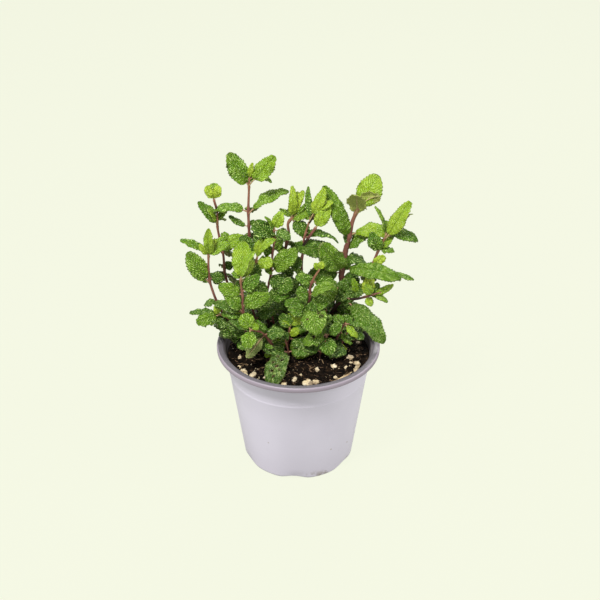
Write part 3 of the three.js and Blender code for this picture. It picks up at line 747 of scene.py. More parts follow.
SMALL_LEAVES = {
    "tall_left": [
        (263, -52, 4, 274, 9, 0.68, (0.6, -1, 0.3)),
        (265, -21, -3, 264, 8, 0.5, LEVEL, {"bow": 0.3}),
        (223, -57, 3, 234, 6, 0.72, LEVEL, {"bow": -0.1}),
        (224, -36, 3, 230, 4, 0.6),
        (266, -45, -1, 279, 5, 0.12),
        (266, -36, -3, 280, 5, 0.1),
        (266, -30, 12, 276, 8, 0.4),
    ],
    "left_back": [
        (228, -59, 3, 244, 6, 0.45, (-0.6, -1, 0.3)),
        (226, -74, -5, 240, 7, 0.3, SIDE_RIGHT),
        (182, -71, 2, 168, 10, 0.8, FRONT),
        (182, -56, 2, 190, 8, 0.8),
        (212, -57, 2, 216, 10, 0.45, LEVEL),
        (205, -54, -2, 206, 11, 0.45, (0, -0.7, 1)),
        (203, -46, -4, 216, 12, 0.3, (-0.3, -1, 0.6)),
        (186, -63, 4, 187, 9, 0.7, HIDDEN),
    ],
    "left_front": [
        (198, -96, 2, 212, 7, 0.5, (0.3, -0.8, 1)),
        (196, -68, -3, 211, 7, 0.1, (-0.4, -1, 0.3)),
        (196, -81, -2, 206, 5, 0.15),
        (196, -57, -3, 208, 10, 0.35, (-0.2, -0.8, 1), {"bow": 0.15}),
        (196, -60, 5, 214, 9, 0.4),
        (171, -80, 0, 171, 4, 0.6, LEVEL),
        (172, -62, 4, 176, 10, 0.85),
        (150, -80, 4, 149, 9, 0.75, LEVEL),
    ],
    "mid_left": [
        (170, -35, -3, 174, 7, 0.4, HIDDEN),
        (171, -37, 1, 200, 9, 0.3, (-1, -0.6, 0.2)),
        (141, -62, 2, 163, 11, 0.55),
        (140, -71, 3, 151, 10, 0.8, (0, -0.7, 1)),
        (145, -30, -5, 156, 12, 0.6),
        (160, -32, -4, 176, 12, 0.6),
        (122, -57, -4, 133, 10, 0.8),
        (122, -45, -8, 139, 12, 0.35),
        (118, -33, -6, 128, 11, 0.8),
    ],
    "inner_left": [
        (192, -30, -2, 211, 8, 0.18, (-0.5, -1, 0.3)),
        (197, -19, -3, 211, 8, 0.25, (-0.2, -0.8, 1), {"bow": 0.16}),
        (188, -21, -5, 189, 12, 0.22, (0, -0.7, 1), {"fold": 5}),
        (174, -33, -6, 186, 13, 0.6, FRONT),
        (170, -26, -4, 160, 13, 0.75),
        (166, -52, -2, 170, 11, 0.7),
        (196, -47, 3, 214, 11, 0.85),
        (196, -28, 7, 226, 13, 0.8),
        (146, -22, -5, 152, 13, 0.8),
    ],
    "middle_left": [
        (220, -13, -1, 236, 10, 0.24, FRONT),
        (222, -27, -1, 232, 4, 0.4, SIDE_RIGHT),
        (219, -6, -5, 211, 11, 0.75, LEVEL, {"bow": 0.16}),
        (210, -8, -2, 218, 10, 0.65, LEVEL),
        (183, -27, -4, 180, 9, 0.5),
        (170, -4, -6, 168, 17, 0.72, FRONT, {"blunt": 0.45, "fold": 5}),
        (196, -28, 4, 203, 9, 0.6),
        (200, -13, 3, 212, 8, 0.5),
        (178, -12, -5, 164, 13, 0.9),
        (155, -8, -6, 160, 13, 0.75),
        (150, -30, -4, 140, 12, 0.85),
    ],
    "middle": [
        (231, -4, -1, 261, 8, 0.14, (0.4, -1, 0.3)),
        (231, 4, 1, 257, 8, 0.1, (-0.3, -1, 0.3)),
        (231, -1, 5, 257, 8, 0.2),
        (240, 9, -2, 248, 3, 0.4),
        (229, 11, -3, 239, 10, 0.4, (-0.2, -0.8, 1)),
        (231, -15, -2, 241, 5, 0.4, SIDE_RIGHT),
        (231, 9, -8, 213, 12, 0.8, (0.4, -1, 0.6)),
        (198, -18, -2, 208, 7, 0.5),
        (200, -4, -3, 190, 7, 0.8),
        (186, -6, -3, 174, 10, 0.85),
        (170, -18, -3, 160, 13, 0.9),
        (165, 2, -6, 150, 13, 0.85),
    ],
    "middle_right": [
        (233, 8, 3, 260, 6, 0.55, (-0.5, -1, 0.3)),
        (212, 34, 3, 209, 7, 0.7, LEVEL, {"bow": 0.22}),
        (216, 20, 1, 220, 5, 0.85),
        (196, -6, -3, 184, 10, 0.85),
        (182, -1, -7, 179, 13, 0.5, FRONT, {"blunt": 0.45}),
        (178, 12, -5, 165, 12, 0.8),
        (165, -12, -5, 175, 11, 0.85),
        (160, 14, -7, 150, 12, 0.8),
        (158, -9, -7, 148, 12, 0.7),
    ],
    "tall_right": [
        (241, 66, -5, 253, 14, 0.12, (0.1, 1, 0.3)),
        (246, 60, 6, 262, 9, 0.15),
        (182, 44, -3, 196, 9, 0.75),
        (196, 58, 2, 189, 13, 0.9, LEVEL),
        (205, 40, 3, 222, 7, 0.8, SIDE_LEFT),
        (176, 52, -3, 170, 13, 0.85),
        (160, 41, -8, 172, 12, 0.75),
        (164, 22, -8, 158, 14, 0.85),
    ],
    "right": [
        (218, 92, -4, 236, 10, 0.3, (-0.2, 0.8, 1)),
        (216, 64, 1, 243, 7, 0.4, SIDE_RIGHT),
        (201, 80, -1, 200, 8, 0.5, LEVEL),
        (201, 60, 2, 207, 6, 0.5, LEVEL),
        (201, 77, 3, 216, 8, 0.3),
        (186, 72, -3, 195, 8, 0.1, FRONT, {"blunt": 0.4}),
        (152, 57, -3, 168, 12, 0.85),
        (158, 46, -2, 174, 6, 0.3),
        (150, 62, 3, 137, 12, 0.6, (0, -0.4, 1)),
        (146, 48, -4, 160, 11, 0.8),
        (140, 36, -9, 130, 12, 0.85),
    ],
    "middle_front": [
        (170, -2, -3, 176, 10, 0.55),
        (181, 20, 0, 190, 6, 0.15),
        (181, 13, -2, 188, 5, 0.2),
        (160, -2, -5, 160, 13, 0.65),
        (150, 26, -5, 152, 13, 0.6),
        (140, -8, -7, 146, 13, 0.6),
        (135, 12, -9, 150, 12, 0.75),
        (128, 28, -9, 136, 13, 0.75),
    ],
    "front": [
        (125, -15, 2, 139, 12, 0.75, (0.3, -1, 0.4)),
        (124, -14, -2, 133, 6, 0.25),
        (117, 1, -4, 125, 7, 0.15),
        (114, -26, -6, 113, 10, 0.4, (0, -0.7, 1)),
        (113, -29, -9, 97, 10, 0.3, (0, -0.6, 1)),
        (115, 9, -7, 95, 17, 0.42, (0, -0.6, 1), {"blunt": 0.5}),
        (120, 12, -2, 130, 9, 0.7),
    ],
    "front_left": [
        (118, -44, -12, 97, 10, 0.62, (0.3, 1, -0.3)),
        (124, -45, 2, 140, 13, 0.40, FRONT, {"blunt": 0.45}),
        (123, -58, 4, 134, 11, 0.85, LEVEL),
        (118, -36, -2, 133, 11, 0.75, (0.2, -1, 0.4)),
        (112, -35, 2, 126, 10, 0.9),
        (124, -34, 3, 131, 8, 0.3),
        (108, -27, -6, 106, 8, 0.6, LEVEL),
    ],
    "low_left": [
        (139, -92, 5, 142, 8, 0.8, LEVEL),
        (139, -70, -3, 147, 6, 0.2),
        (130, -52, 3, 143, 11, 0.85),
        (120, -40, -4, 128, 10, 0.85),
    ],
    "front_right": [
        (119, 26, -14, 99, 15, 0.72, (0, -0.6, 1)),
        (121, 36, -4, 130, 10, 0.7),
        (112, 14, -6, 106, 11, 0.8),
        (118, 14, 2, 128, 11, 0.8),
    ],
    "twig_left_back": [
        (251, -74, -1, 261, 8, 0.14, FRONT, {"blunt": 0.42}),
        (251, -64, -1, 261, 8, 0.10, FRONT, {"blunt": 0.42}),
        (251, -69, -4, 256, 9, 0.05, (0, -0.6, 1), {"blunt": 0.42}),
        (251, -69, 3, 264, 10, 0.3, FRONT, {"blunt": 0.42}),
    ],
    "twig_top_right": [
        (238, 28, 1, 247, 8, 0.15, (-0.3, -0.7, 1), {"bow": 0.2}),
        (236, 22, 2, 252, 6, 0.1),
        (236, 12, -2, 246, 6, 0.12),
    ],
    "twig_middle": [
        (222, 26, 2, 243, 12, 0.22, FRONT, {"bow": 0.14}),
        (222, 19, -2, 236, 7, 0.2),
    ],
    "twig_right": [
        (156, 61, 1, 176, 11, 0.08),
        (157, 68, 2, 169, 8, 0.7),
        (158, 80, 2, 168, 6, 0.25),
        (158, 76, -1, 152, 7, 0.4, LEVEL),
        (156, 62, -6, 147, 8, 0.2, LEVEL),
        (158, 56, -4, 168, 8, 0.3),
        (157, 73, 6, 162, 8, 0.5),
    ],
    "twig_front_right": [
        (122, 45, -8, 109, 8, 0.5, LEVEL),
        (128, 51, -5, 117, 8, 0.25, LEVEL),
        (110, 42, -6, 104, 4, 0.1, LEVEL),
        (128, 30, -3, 138, 10, 0.6),
        (128, 44, 4, 138, 10, 0.75),
        (130, 62, 8, 128, 10, 0.75, LEVEL),
    ],
}

# Side shoots too thin for the frame: parent, how high it looks where it starts, then its
# line from there in mm, root and tip radius in mm.
TWIGS = {
    "twig_right": ("right", 155, [(0, -2, 0), (6, -6, 3), (14, -10, 8), (22, -12, 12),
                                  (27, -12, 13)], 1.0, 0.6),
    "twig_left_back": ("left_back", 238, [(0, 0, -1), (-1, 0, 4), (-2, 0, 8),
                                          (-2.5, 0, 11)], 1.0, 0.9),
    "twig_top_right": ("middle_right", 227, [(0, 0, -1), (3, 0, 4), (7, 0, 9)], 1.0, 0.8),
    "twig_middle": ("middle_right", 206, [(0, -1, 0), (3, -2, 5), (7, -2, 12),
                                          (11, -2, 18)], 1.2, 0.9),
}


# Leaves at the back of the plant, in the same form as the rows above.
BACK_LEAVES = {
    "tall_left": [(262, -42, 17, 276, 13, 0.4), (240, -38, 15, 239, 11, 0.6),
                  (216, -41, 16, 212, 12, 0.75), (192, -40, 18, 186, 14, 0.85)],
    "left_back": [(229, -64, 16, 233, 11, 0.5), (200, -60, 18, 198, 12, 0.7),
                  (176, -55, 18, 170, 13, 0.8)],
    "left_front": [(196, -70, 16, 206, 13, 0.5), (171, -68, 16, 178, 12, 0.7)],
    "mid_left": [(171, -47, 15, 186, 14, 0.5)],
    "middle_left": [(208, -22, 16, 216, 13, 0.6), (186, -20, 17, 188, 13, 0.8)],
    "middle": [(231, -4, 16, 243, 12, 0.4), (208, -8, 17, 209, 12, 0.7),
               (184, -9, 18, 180, 14, 0.85)],
    "middle_right": [(228, 10, 16, 240, 12, 0.4), (205, 6, 16, 206, 11, 0.7)],
    "tall_right": [(240, 52, 17, 256, 14, 0.4), (214, 47, 18, 220, 14, 0.6),
                   (184, 42, 17, 186, 14, 0.75), (168, 38, 18, 160, 15, 0.85)],
    "right": [(218, 76, 16, 230, 12, 0.4), (200, 70, 16, 206, 11, 0.6),
              (176, 60, 18, 172, 13, 0.8)],
}
for stem_name, back_rows in BACK_LEAVES.items():
    SMALL_LEAVES[stem_name] += [(*row, LEVEL) for row in back_rows]


def add_twigs(stems):
    for name, (parent, height, line, root, tip) in TWIGS.items():
        start = stems[parent].line[stems[parent].index_seen(height)]
        centres = [start + Vector(point) * MM for point in line]
        stems[name] = Stem(name, centres, root * MM, tip * MM)
    ground = Vector((31, 4, 0)) * MM + UP * SOIL_EDGE
    line = [(0, 0, -4), (0, 0, 4), (3, -6, 18), (7, -10, 30), (9, -11, 34)]
    centres = [ground + Vector(point) * MM for point in line]
    stems["twig_front_right"] = Stem("twig_front_right", centres, 1.0 * MM, 0.6 * MM)


def seen_reach(base, right, behind, height):
    """From a joint to a tip that looks this high, given its place to the right."""
    y = base.y + behind * MM
    return Vector((right * MM, y, height * MM - LOOK_SLOPE * y)) - base


def make_small_leaves(stems, materials):
    for number, (name, rows) in enumerate(SMALL_LEAVES.items()):
        stem = stems[name]
        shapes = {}
        for place, (joint, right, behind, height, width, age, *more) in enumerate(rows):
            index = stem.index_seen(joint)
            stem.joints.append(index)
            base = stem.line[index]
            chance = random.Random(number * 100 + place)
            habits = {"bow": chance.uniform(0.04, 0.13), "fold": chance.uniform(6, 20),
                      "twist": chance.uniform(-22, 22), "blunt": chance.uniform(0.5, 0.64)}
            habits.update(more[1] if len(more) > 1 else {})
            shape = LeafShape(
                base=base, reach=seen_reach(base, right, behind, height),
                face=more[0] if more else FRONT, width=width * MM, age=age,
                seed=number * 100 + place, fine=0.55,
                speckle=chance.choice([0, 0, 0.5]) * (age > 0.3), **habits)
            shapes.setdefault(slot_for(age), []).append(shape)
        for slot, group in shapes.items():
            make_piece(slot + "_" + name, leaf_mesh(group), materials)


# Leaves that fill the plant out behind the listed ones. The crown's height over
# the floor, as it looks from the front, limits them: right, height, in mm.
CROWN = [(-78, 136), (-66, 150), (-40, 168), (-26, 160), (-8, 164), (12, 162), (28, 164),
         (46, 156), (60, 140), (78, 126)]


def crown_height(x):
    if not CROWN[0][0] < x < CROWN[-1][0]:
        return 0
    for (x0, z0), (x1, z1) in zip(CROWN, CROWN[1:]):
        if x < x1:
            return mix(z0, z1, (x - x0) / (x1 - x0))
    return 0


def in_crown(point):
    return seen_height(point) < crown_height(point.x / MM)


def fill_shape(stem, index, azimuth, chance, seed, reach, low):
    rise = chance.uniform(-0.05, 0.5)
    ahead = Vector((math.cos(azimuth), math.sin(azimuth), rise)) * reach
    # Lower fill leaves get a higher age and so a darker green: partly older leaves, partly
    # painted shade deep in the plant.
    age = mix(0.95, 0.55, low) + chance.uniform(-0.12, 0.12)
    return LeafShape(
        base=stem.line[index], reach=ahead, width=reach * chance.uniform(0.52, 0.72),
        face=(chance.uniform(-0.3, 0.3), -0.35, 1), age=age, seed=seed,
        bow=chance.uniform(0.05, 0.16), fold=chance.uniform(5, 18),
        twist=chance.uniform(-25, 25), wave=1.3, fine=0.8, blunt=chance.uniform(0.5, 0.66))


def make_fill_leaves(stems, materials):
    for number, (name, stem) in enumerate(stems.items()):
        chance = random.Random(900 + number)
        top = (stem.line[-1].z - SOIL_EDGE) / MM
        shapes = {}
        turn = chance.uniform(0, math.tau)
        rise = 9.0
        while rise < top - 6:
            index = stem.index_at(rise * MM)
            for half in (0, math.pi):
                azimuth = turn + half + chance.uniform(-0.3, 0.3)
                reach = chance.uniform(15, 23) * MM
                low = min(1, rise / 75)
                shape = fill_shape(stem, index, azimuth, chance, rise * 7 + half, reach, low)
                tip = shape.base + shape.along * reach
                if math.sin(azimuth) > -0.25 and in_crown(tip) and in_crown(shape.base):
                    shapes.setdefault(slot_for(shape.age), []).append(shape)
                    stem.joints.append(index)
            turn += math.pi / 2
            rise += chance.uniform(9, 13)
        for slot, group in shapes.items():
            make_piece("fill_" + slot + "_" + name, leaf_mesh(group), materials)


# Low shoots at the back and in the middle, too small for the frame: root place and tip's
# lean in mm, height.
LOW_SHOOTS = [
    (-34, 26, -8, 6, 34), (-14, 38, -3, 8, 40), (8, 28, 3, 6, 46), (28, 36, 6, 5, 38),
    (42, 18, 9, 3, 34), (-46, 6, -7, 2, 30), (0, 8, -2, -4, 42), (-20, 12, -4, -3, 44),
    (20, 12, 4, -2, 40), (36, -2, 6, -5, 28), (-30, -6, -5, -6, 30), (10, 46, 2, 8, 30),
    (-8, -14, -3, -5, 28), (18, -14, 5, -4, 26), (-2, 24, 0, 3, 60), (-28, 40, -6, 6, 26),
]


def add_low_shoots(stems):
    for number, (x, y, lean_x, lean_y, height) in enumerate(LOW_SHOOTS):
        ground = Vector((x, y, 0)) * MM + UP * (SOIL_EDGE + MOUND / 2)
        centres = [ground + Vector((lean_x * t * t, lean_y * t * t, height * t - 4)) * MM
                   for t in (0, 0.3, 0.6, 1)]
        name = f"low_{number + 1}"
        stems[name] = Stem(name, centres, 0.9 * MM, 0.5 * MM)


# ---------- stems ----------

def stem_material():
    material, nodes, shader = new_material("mint_stem")
    place = nodes.object_place()
    rise = nodes.attribute("rise")
    colour = nodes.ramp(rise, [
        (0.0, (0.012, 0.007, 0.006)), (0.34, (0.025, 0.012, 0.009)),
        (0.48, (0.12, 0.042, 0.034)), (0.85, (0.21, 0.075, 0.058)),
        (1.0, (0.26, 0.13, 0.065))])
    patch = nodes.noise(place, 160.0, 3.0)
    bright = nodes.math("MULTIPLY", rise, nodes.range(patch, 0.45, 0.75, 0.0, 0.4))
    colour = nodes.blend(bright, colour, (0.40, 0.20, 0.13, 1))
    fibre = nodes.noise(nodes.vector_math("MULTIPLY", place, (1.0, 1.0, 0.12)), 1600.0, 2.0)
    colour = nodes.blend(nodes.range(fibre, 0.5, 0.8, 0.0, 0.35), colour,
                         (0.05, 0.02, 0.015, 1))
    nodes.feed(shader, {
        "Base Color": colour, "Roughness": nodes.range(patch, 0.3, 0.7, 0.38, 0.6),
        "Specular IOR Level": 0.4, "Normal": nodes.bump(fibre, 0.35, 0.3 * MM),
    })
    return material


STEM_PLUMPNESS = 1.12     # the framed rods are drawn inside the round of the stems


def make_stem(stem, material, stands_for):
    bm = bmesh.new()
    layers = {"rise": bm.verts.layers.float.new("rise")}
    count = len(stem.line)
    radii = []
    for index in range(count):
        nearest = min([abs(index - joint) for joint in stem.joints] or [99])
        swelling = 1 + 0.32 * math.exp(-(nearest / 1.3) ** 2)
        wobble = 1 + 0.05 * noise.noise(stem.line[index] * 200)
        radii.append(stem.radius(index) * swelling * wobble * STEM_PLUMPNESS)
    radii[-1] *= 0.5

    def values(step):
        return {"rise": step / (count - 1)}

    add_rod(bm, stem.line, radii, 12, 0, layers, square=0.07, values=values)
    make_piece("mint_" + STEM_PREFIX + stem.name, bm, [material], stands_for)


def make_stems(stems):
    material = stem_material()
    for name, stem in stems.items():
        node = STEM_PREFIX + name
        make_stem(stem, material, [node] if node in frame["nodes"] else [])


# ---------- pot ----------

RIM_OVERHANG = 7.5      # the rim's outer edge beyond the wall below it, in mm
WALL_BASE = 48.0        # radius of the wall where it meets the ground, in mm
WALL_END = 7            # how far the wall ends below the top of the rim, in mm
HALF_WALL = 0.45        # half of the wall's thickness, in mm


def pot_profile():
    """The pot's section, outside and back down inside, in metres."""
    top = POT_HEIGHT / MM
    rim = RIM_RADIUS / MM
    wall_top = rim - RIM_OVERHANG

    def wall(height):
        return WALL_BASE + (wall_top - WALL_BASE) * height / (top - WALL_END)

    bead = top - 26
    points = [
        (0, 0), (19.6, 0), (20.4, 0.5), (21.2, 2.4), (22, 3), (39, 3), (39.8, 2.4),
        (40.6, 0.5), (41.4, 0), (47.1, 0), (47.7, 0.25), (wall(1), 1),
        (wall(2.5), 2.5), (wall(12), 12), (wall(40), 40), (wall(60), 60),
        (wall(bead - 1.6), bead - 1.6), (wall(bead) + 0.1, bead - 0.6),
        (wall(bead) + 0.15, bead), (wall(bead) + 0.1, bead + 0.6),
        (wall(bead + 1.6), bead + 1.6), (wall(top - 14), top - 14),
        (wall_top - 0.1, top - 8), (wall_top + 0.35, top - 5.6), (wall_top + 1.1, top - 3.4),
        (wall_top + 2.4, top - 1.7), (wall_top + 4, top - 1), (rim - 2, top - 0.95),
        (rim - 1.2, top - 1.5), (rim - 0.95, top - 2.3), (rim - 0.9, top - 4),
        (rim - 0.45, top - 4.2), (rim - 0.05, top - 3.9), (rim, top - 3.2),
        (rim, top - 1.6), (rim - 0.15, top - 0.8), (rim - 0.6, top - 0.25),
        (rim - 1.3, top), (rim - 4.6, top - 0.05), (rim - 5.5, top - 0.4),
        (rim - 6.3, top - 1.4), (rim - 7.1, top - 3.4), (wall_top - 0.75, top - 6),
        (wall(top - 12) - 0.9, top - 12), (wall(60) - 0.9, 60), (wall(20) - 0.9, 20),
        (wall(4.2) - 0.9, 4.2), (46.2, 1.2), (41.6, 1.2), (39, 4.2), (22, 4.2),
        (19.4, 1.2), (0, 1.2),
    ]
    return [Vector((radius * MM, 0, height * MM)) for radius, height in points]


FOOT_ARCHES = 6
ARCH_HALF_SPAN = math.radians(18)
ARCH_RISE = 3 * MM
FOOT_TURN = math.radians(-4)
DRAIN_HOLES = 8
DRAIN_RING = 30.5       # distance of a drain hole from the middle, in mm
DRAIN_RADIUS = 3.2 * MM


def arch_lift(point):
    """How far the foot is lifted between two feet."""
    pitch = math.tau / FOOT_ARCHES
    turn = math.atan2(point.y, point.x) + math.pi / 2 - FOOT_TURN
    offset = min(1, abs(turn - pitch * round(turn / pitch)) / ARCH_HALF_SPAN)
    return ARCH_RISE * (1 + math.cos(math.pi * offset)) / 2


def spin_profile(points, steps):
    bm = bmesh.new()
    verts = [bm.verts.new(point) for point in points]
    edges = [bm.edges.new(pair) for pair in zip(verts, verts[1:])]
    bmesh.ops.spin(bm, geom=verts + edges, cent=(0, 0, 0), axis=(0, 0, 1),
                   angle=math.tau, steps=steps, use_merge=True)
    bmesh.ops.remove_doubles(bm, verts=bm.verts, dist=0.01 * MM)
    bmesh.ops.recalc_face_normals(bm, faces=bm.faces)
    return bm


def make_pot():
    bm = spin_profile(pot_profile(), 180)
    for vert in bm.verts:
        radius = math.hypot(vert.co.x, vert.co.y)
        if radius > 41 * MM and vert.co.z < 3 * MM:
            vert.co.z += arch_lift(vert.co) * (1 - vert.co.z / (4 * MM))
    for number in range(DRAIN_HOLES):
        turn = (number + 0.5) * math.tau / DRAIN_HOLES
        centre = Vector((DRAIN_RING * math.cos(turn), DRAIN_RING * math.sin(turn), 0)) * MM
        gone = [f for f in bm.faces if f.calc_center_median().z < 5 * MM
                and (f.calc_center_median().xy - centre.xy).length < DRAIN_RADIUS]
        bmesh.ops.delete(bm, geom=gone, context="FACES")
    make_piece("nursery_pot", bm, [pot_material()], ["pot"])


def wall_slope():
    """How much wider the wall gets for each unit of height."""
    wall_top = RIM_RADIUS / MM - RIM_OVERHANG
    return (wall_top - WALL_BASE) / (POT_HEIGHT / MM - WALL_END)


def pot_material():
    material, nodes, shader = new_material("nursery_pot_plastic")
    place = nodes.object_place()
    split = nodes.feed(nodes.add("ShaderNodeSeparateXYZ"), {0: place}).outputs
    out = nodes.math("SQRT", nodes.math(
        "ADD", nodes.math("MULTIPLY", split["X"], split["X"]),
        nodes.math("MULTIPLY", split["Y"], split["Y"])))
    cloud = nodes.noise(place, 14.0, 3.0)
    colour = nodes.blend(nodes.range(cloud, 0.3, 0.7), (0.655, 0.625, 0.755, 1),
                         (0.70, 0.67, 0.805, 1))
    # Painted shade: the wall is darkened towards the bottom.
    low = nodes.range(split["Z"], 0.0, 0.045, 0.7, 0.0)
    colour = nodes.blend(low, colour, (0.60, 0.565, 0.69, 1))
    high = nodes.range(split["Z"], POT_HEIGHT - 9 * MM, POT_HEIGHT - 4 * MM)
    lip = nodes.range(out, RIM_RADIUS - 2.2 * MM, RIM_RADIUS - 0.3 * MM)
    colour = nodes.blend(nodes.math("MULTIPLY", high, nodes.math("MULTIPLY", lip, 0.8)),
                         colour, (0.20, 0.155, 0.195, 1))
    top = nodes.range(split["Z"], POT_HEIGHT - 2.2 * MM, POT_HEIGHT - 1.0 * MM)
    within = nodes.range(out, RIM_RADIUS - 1.5 * MM, RIM_RADIUS - 0.5 * MM, 1.0, 0.0)
    ring = nodes.math("MULTIPLY", top, within)
    colour = nodes.blend(nodes.math("MULTIPLY", ring, 0.92), colour, (0.092, 0.083, 0.095, 1))
    # Painted shade: the inside of the pot just below the rim is darkened, where shade falls
    # within the pot.
    section = nodes.range(out, RIM_RADIUS - 6.4 * MM, RIM_RADIUS - 5.4 * MM, 1.0, 0.0)
    inside = nodes.math("MULTIPLY", section, high)
    colour = nodes.blend(nodes.math("MULTIPLY", inside, 0.8), colour, (0.17, 0.15, 0.15, 1))
    # Painted shade: the pot's inner faces below the rim are darkened almost to black, as
    # shadow inside the pot.
    wall = nodes.math("ADD", nodes.math("MULTIPLY", split["Z"], wall_slope()),
                      (WALL_BASE - HALF_WALL) * MM)
    inner = nodes.range(nodes.math("SUBTRACT", out, wall), -0.1 * MM, 0.1 * MM, 1.0, 0.0)
    inner = nodes.math("MULTIPLY", inner, nodes.range(
        split["Z"], POT_HEIGHT - 1.6 * MM, POT_HEIGHT - 0.8 * MM, 0.9, 0.0))
    colour = nodes.blend(inner, colour, (0.115, 0.105, 0.105, 1))
    grime = nodes.noise(place, 60.0, 5.0, 0.7)
    dirt = nodes.math("MULTIPLY", nodes.range(split["Z"], 0.0, 0.010, 1.0, 0.0),
                      nodes.range(grime, 0.55, 0.66))
    colour = nodes.blend(nodes.math("MULTIPLY", dirt, 0.65), colour, (0.20, 0.15, 0.09, 1))
    dot = nodes.range(nodes.cells(place, 75.0), 0.03, 0.09, 1.0, 0.0)
    pick = nodes.range(nodes.noise(place, 30.0, 2.0), 0.52, 0.58)
    speck = nodes.math("MULTIPLY", dot, pick)
    colour = nodes.blend(nodes.math("MULTIPLY", speck, 0.7), colour, (0.26, 0.20, 0.09, 1))
    scuff = nodes.noise(nodes.vector_math("MULTIPLY", place, (1.0, 1.0, 3.0)), 130.0, 4.0)
    fine = nodes.noise(place, 900.0, 2.0)
    rough = nodes.range(scuff, 0.3, 0.7, 0.36, 0.50)
    nodes.feed(shader, {
        "Base Color": colour, "Roughness": rough, "Specular IOR Level": 0.4,
        "Normal": nodes.bump(fine, 0.12, 0.12 * MM),
    })
    return material


# ---------- soil ----------

def ground_height(x, y):
    share = math.hypot(x, y) / SOIL_RADIUS
    return SOIL_EDGE + MOUND * (1 - min(1, share) ** 2)


def soil_relief(x, y):
    """Lumps and hollows of the soil's surface."""
    place = Vector((x, y, 0))
    big = noise.noise(place * 60) * 1.8
    mid = noise.noise(place * 190 + Vector((5, 3, 1))) * 1.1
    small = noise.noise(place * 520 + Vector((1, 9, 4))) * 0.55
    return (big + mid + small - 0.6) * MM


def make_soil():
    rings = 60
    low = SOIL_LOW.z
    points = [Vector((0, 0, low)), Vector((46.8 * MM, 0, low))]
    points += [Vector((SOIL_RADIUS, 0, SOIL_EDGE - 3 * MM))]
    for ring in range(rings + 1):
        points.append(Vector((SOIL_RADIUS * (1 - ring / rings), 0, SOIL_EDGE)))
    bm = spin_profile(points, 180)
    for vert in bm.verts:
        if vert.co.z > SOIL_EDGE - 1 * MM:
            x, y = vert.co.x, vert.co.y
            edge = smooth(1, 0.96, math.hypot(x, y) / SOIL_RADIUS)
            vert.co.z = ground_height(x, y) + soil_relief(x, y) * mix(0.5, 1, edge)
    make_piece("compost", bm, [compost_material(False)], ["soil"])


def compost_material(crumbs):
    material, nodes, shader = new_material("compost_crumbs" if crumbs else "compost")
    place = nodes.object_place()
    tone = nodes.noise(place, 240.0, 4.0, 0.7)
    colour = nodes.ramp(tone, [
        (0.30, (0.002, 0.0014, 0.001)), (0.50, (0.006, 0.0035, 0.002)),
        (0.60, (0.018, 0.010, 0.005)), (0.72, (0.075, 0.042, 0.02))])
    damp = nodes.noise(place, 40.0, 2.0)
    rough = nodes.range(damp, 0.35, 0.65, 0.6, 0.9)
    grain = nodes.noise(place, 900.0, 4.0, 0.75)
    nodes.feed(shader, {
        "Base Color": colour, "Roughness": rough, "Specular IOR Level": 0.1,
        "Normal": nodes.bump(grain, 0.9, 0.8 * MM),
    })
    return material


def on_ground(chance, margin):
    radius = (SOIL_RADIUS - margin) * math.sqrt(chance.random())
    turn = chance.uniform(0, math.tau)
    x, y = radius * math.cos(turn), radius * math.sin(turn)
    return Vector((x, y, ground_height(x, y) + soil_relief(x, y)))


def add_lump(bm, chance, place, size, flat, detail=1, rough=0.45):
    """A rough crumb: a coarse ball knocked out of shape."""
    ball = bmesh.ops.create_icosphere(bm, subdivisions=detail, radius=1)
    verts = ball["verts"]
    offset = Vector([chance.uniform(-9, 9) for _ in range(3)])
    for vert in verts:
        push = 1 + rough * noise.noise(vert.co * 1.5 + offset)
        vert.co *= push
    turn = Matrix.Rotation(chance.uniform(0, math.tau), 4, "Z")
    turn = turn @ Matrix.Rotation(chance.uniform(-0.5, 0.5), 4, "X")
    stretch = Matrix.Diagonal((size, size * chance.uniform(0.6, 1), size * flat, 1))
    bmesh.ops.transform(bm, matrix=Matrix.Translation(place) @ turn @ stretch, verts=verts)
    return verts


def make_crumbs():
    chance = random.Random(7)

    def add_one(bm, number):
        place = on_ground(chance, 1 * MM)
        size = (0.4 + 1.7 * chance.random() ** 3.5) * MM
        add_lump(bm, chance, place, size, chance.uniform(0.5, 0.9))

    make_piece("compost_crumbs", in_batches(4200, add_one),
               [compost_material(True)])


def make_fibres():
    chance = random.Random(11)

    def add_one(bm, number):
        place = on_ground(chance, 4 * MM) + UP * 0.3 * MM
        turn = chance.uniform(0, math.tau)
        length = chance.uniform(2, 7) * MM
        ahead = Vector((math.cos(turn), math.sin(turn), chance.uniform(-0.05, 0.2))) * length
        side = Vector((-ahead.y, ahead.x, 0)) * chance.uniform(-0.3, 0.3)
        line = [place + ahead * t + side * 4 * t * (1 - t) for t in (0, 0.33, 0.66, 1)]
        thick = chance.uniform(0.1, 0.3) * MM
        add_rod(bm, line, [thick, thick, thick * 0.8, thick * 0.5], 5, 0)

    make_piece("compost_fibres", in_batches(520, add_one), [fibre_material()])


def fibre_material():
    material, nodes, shader = new_material("peat_fibre")
    place = nodes.object_place()
    tone = nodes.noise(place, 120.0, 3.0)
    colour = nodes.ramp(tone, [(0.35, (0.05, 0.028, 0.015)), (0.5, (0.17, 0.095, 0.05)),
                               (0.68, (0.38, 0.26, 0.14))])
    nodes.feed(shader, {
        "Base Color": colour, "Roughness": nodes.range(tone, 0.3, 0.7, 0.6, 0.9),
        "Normal": nodes.bump(nodes.noise(place, 1500.0, 2.0), 0.4, 0.2 * MM),
    })
    return material


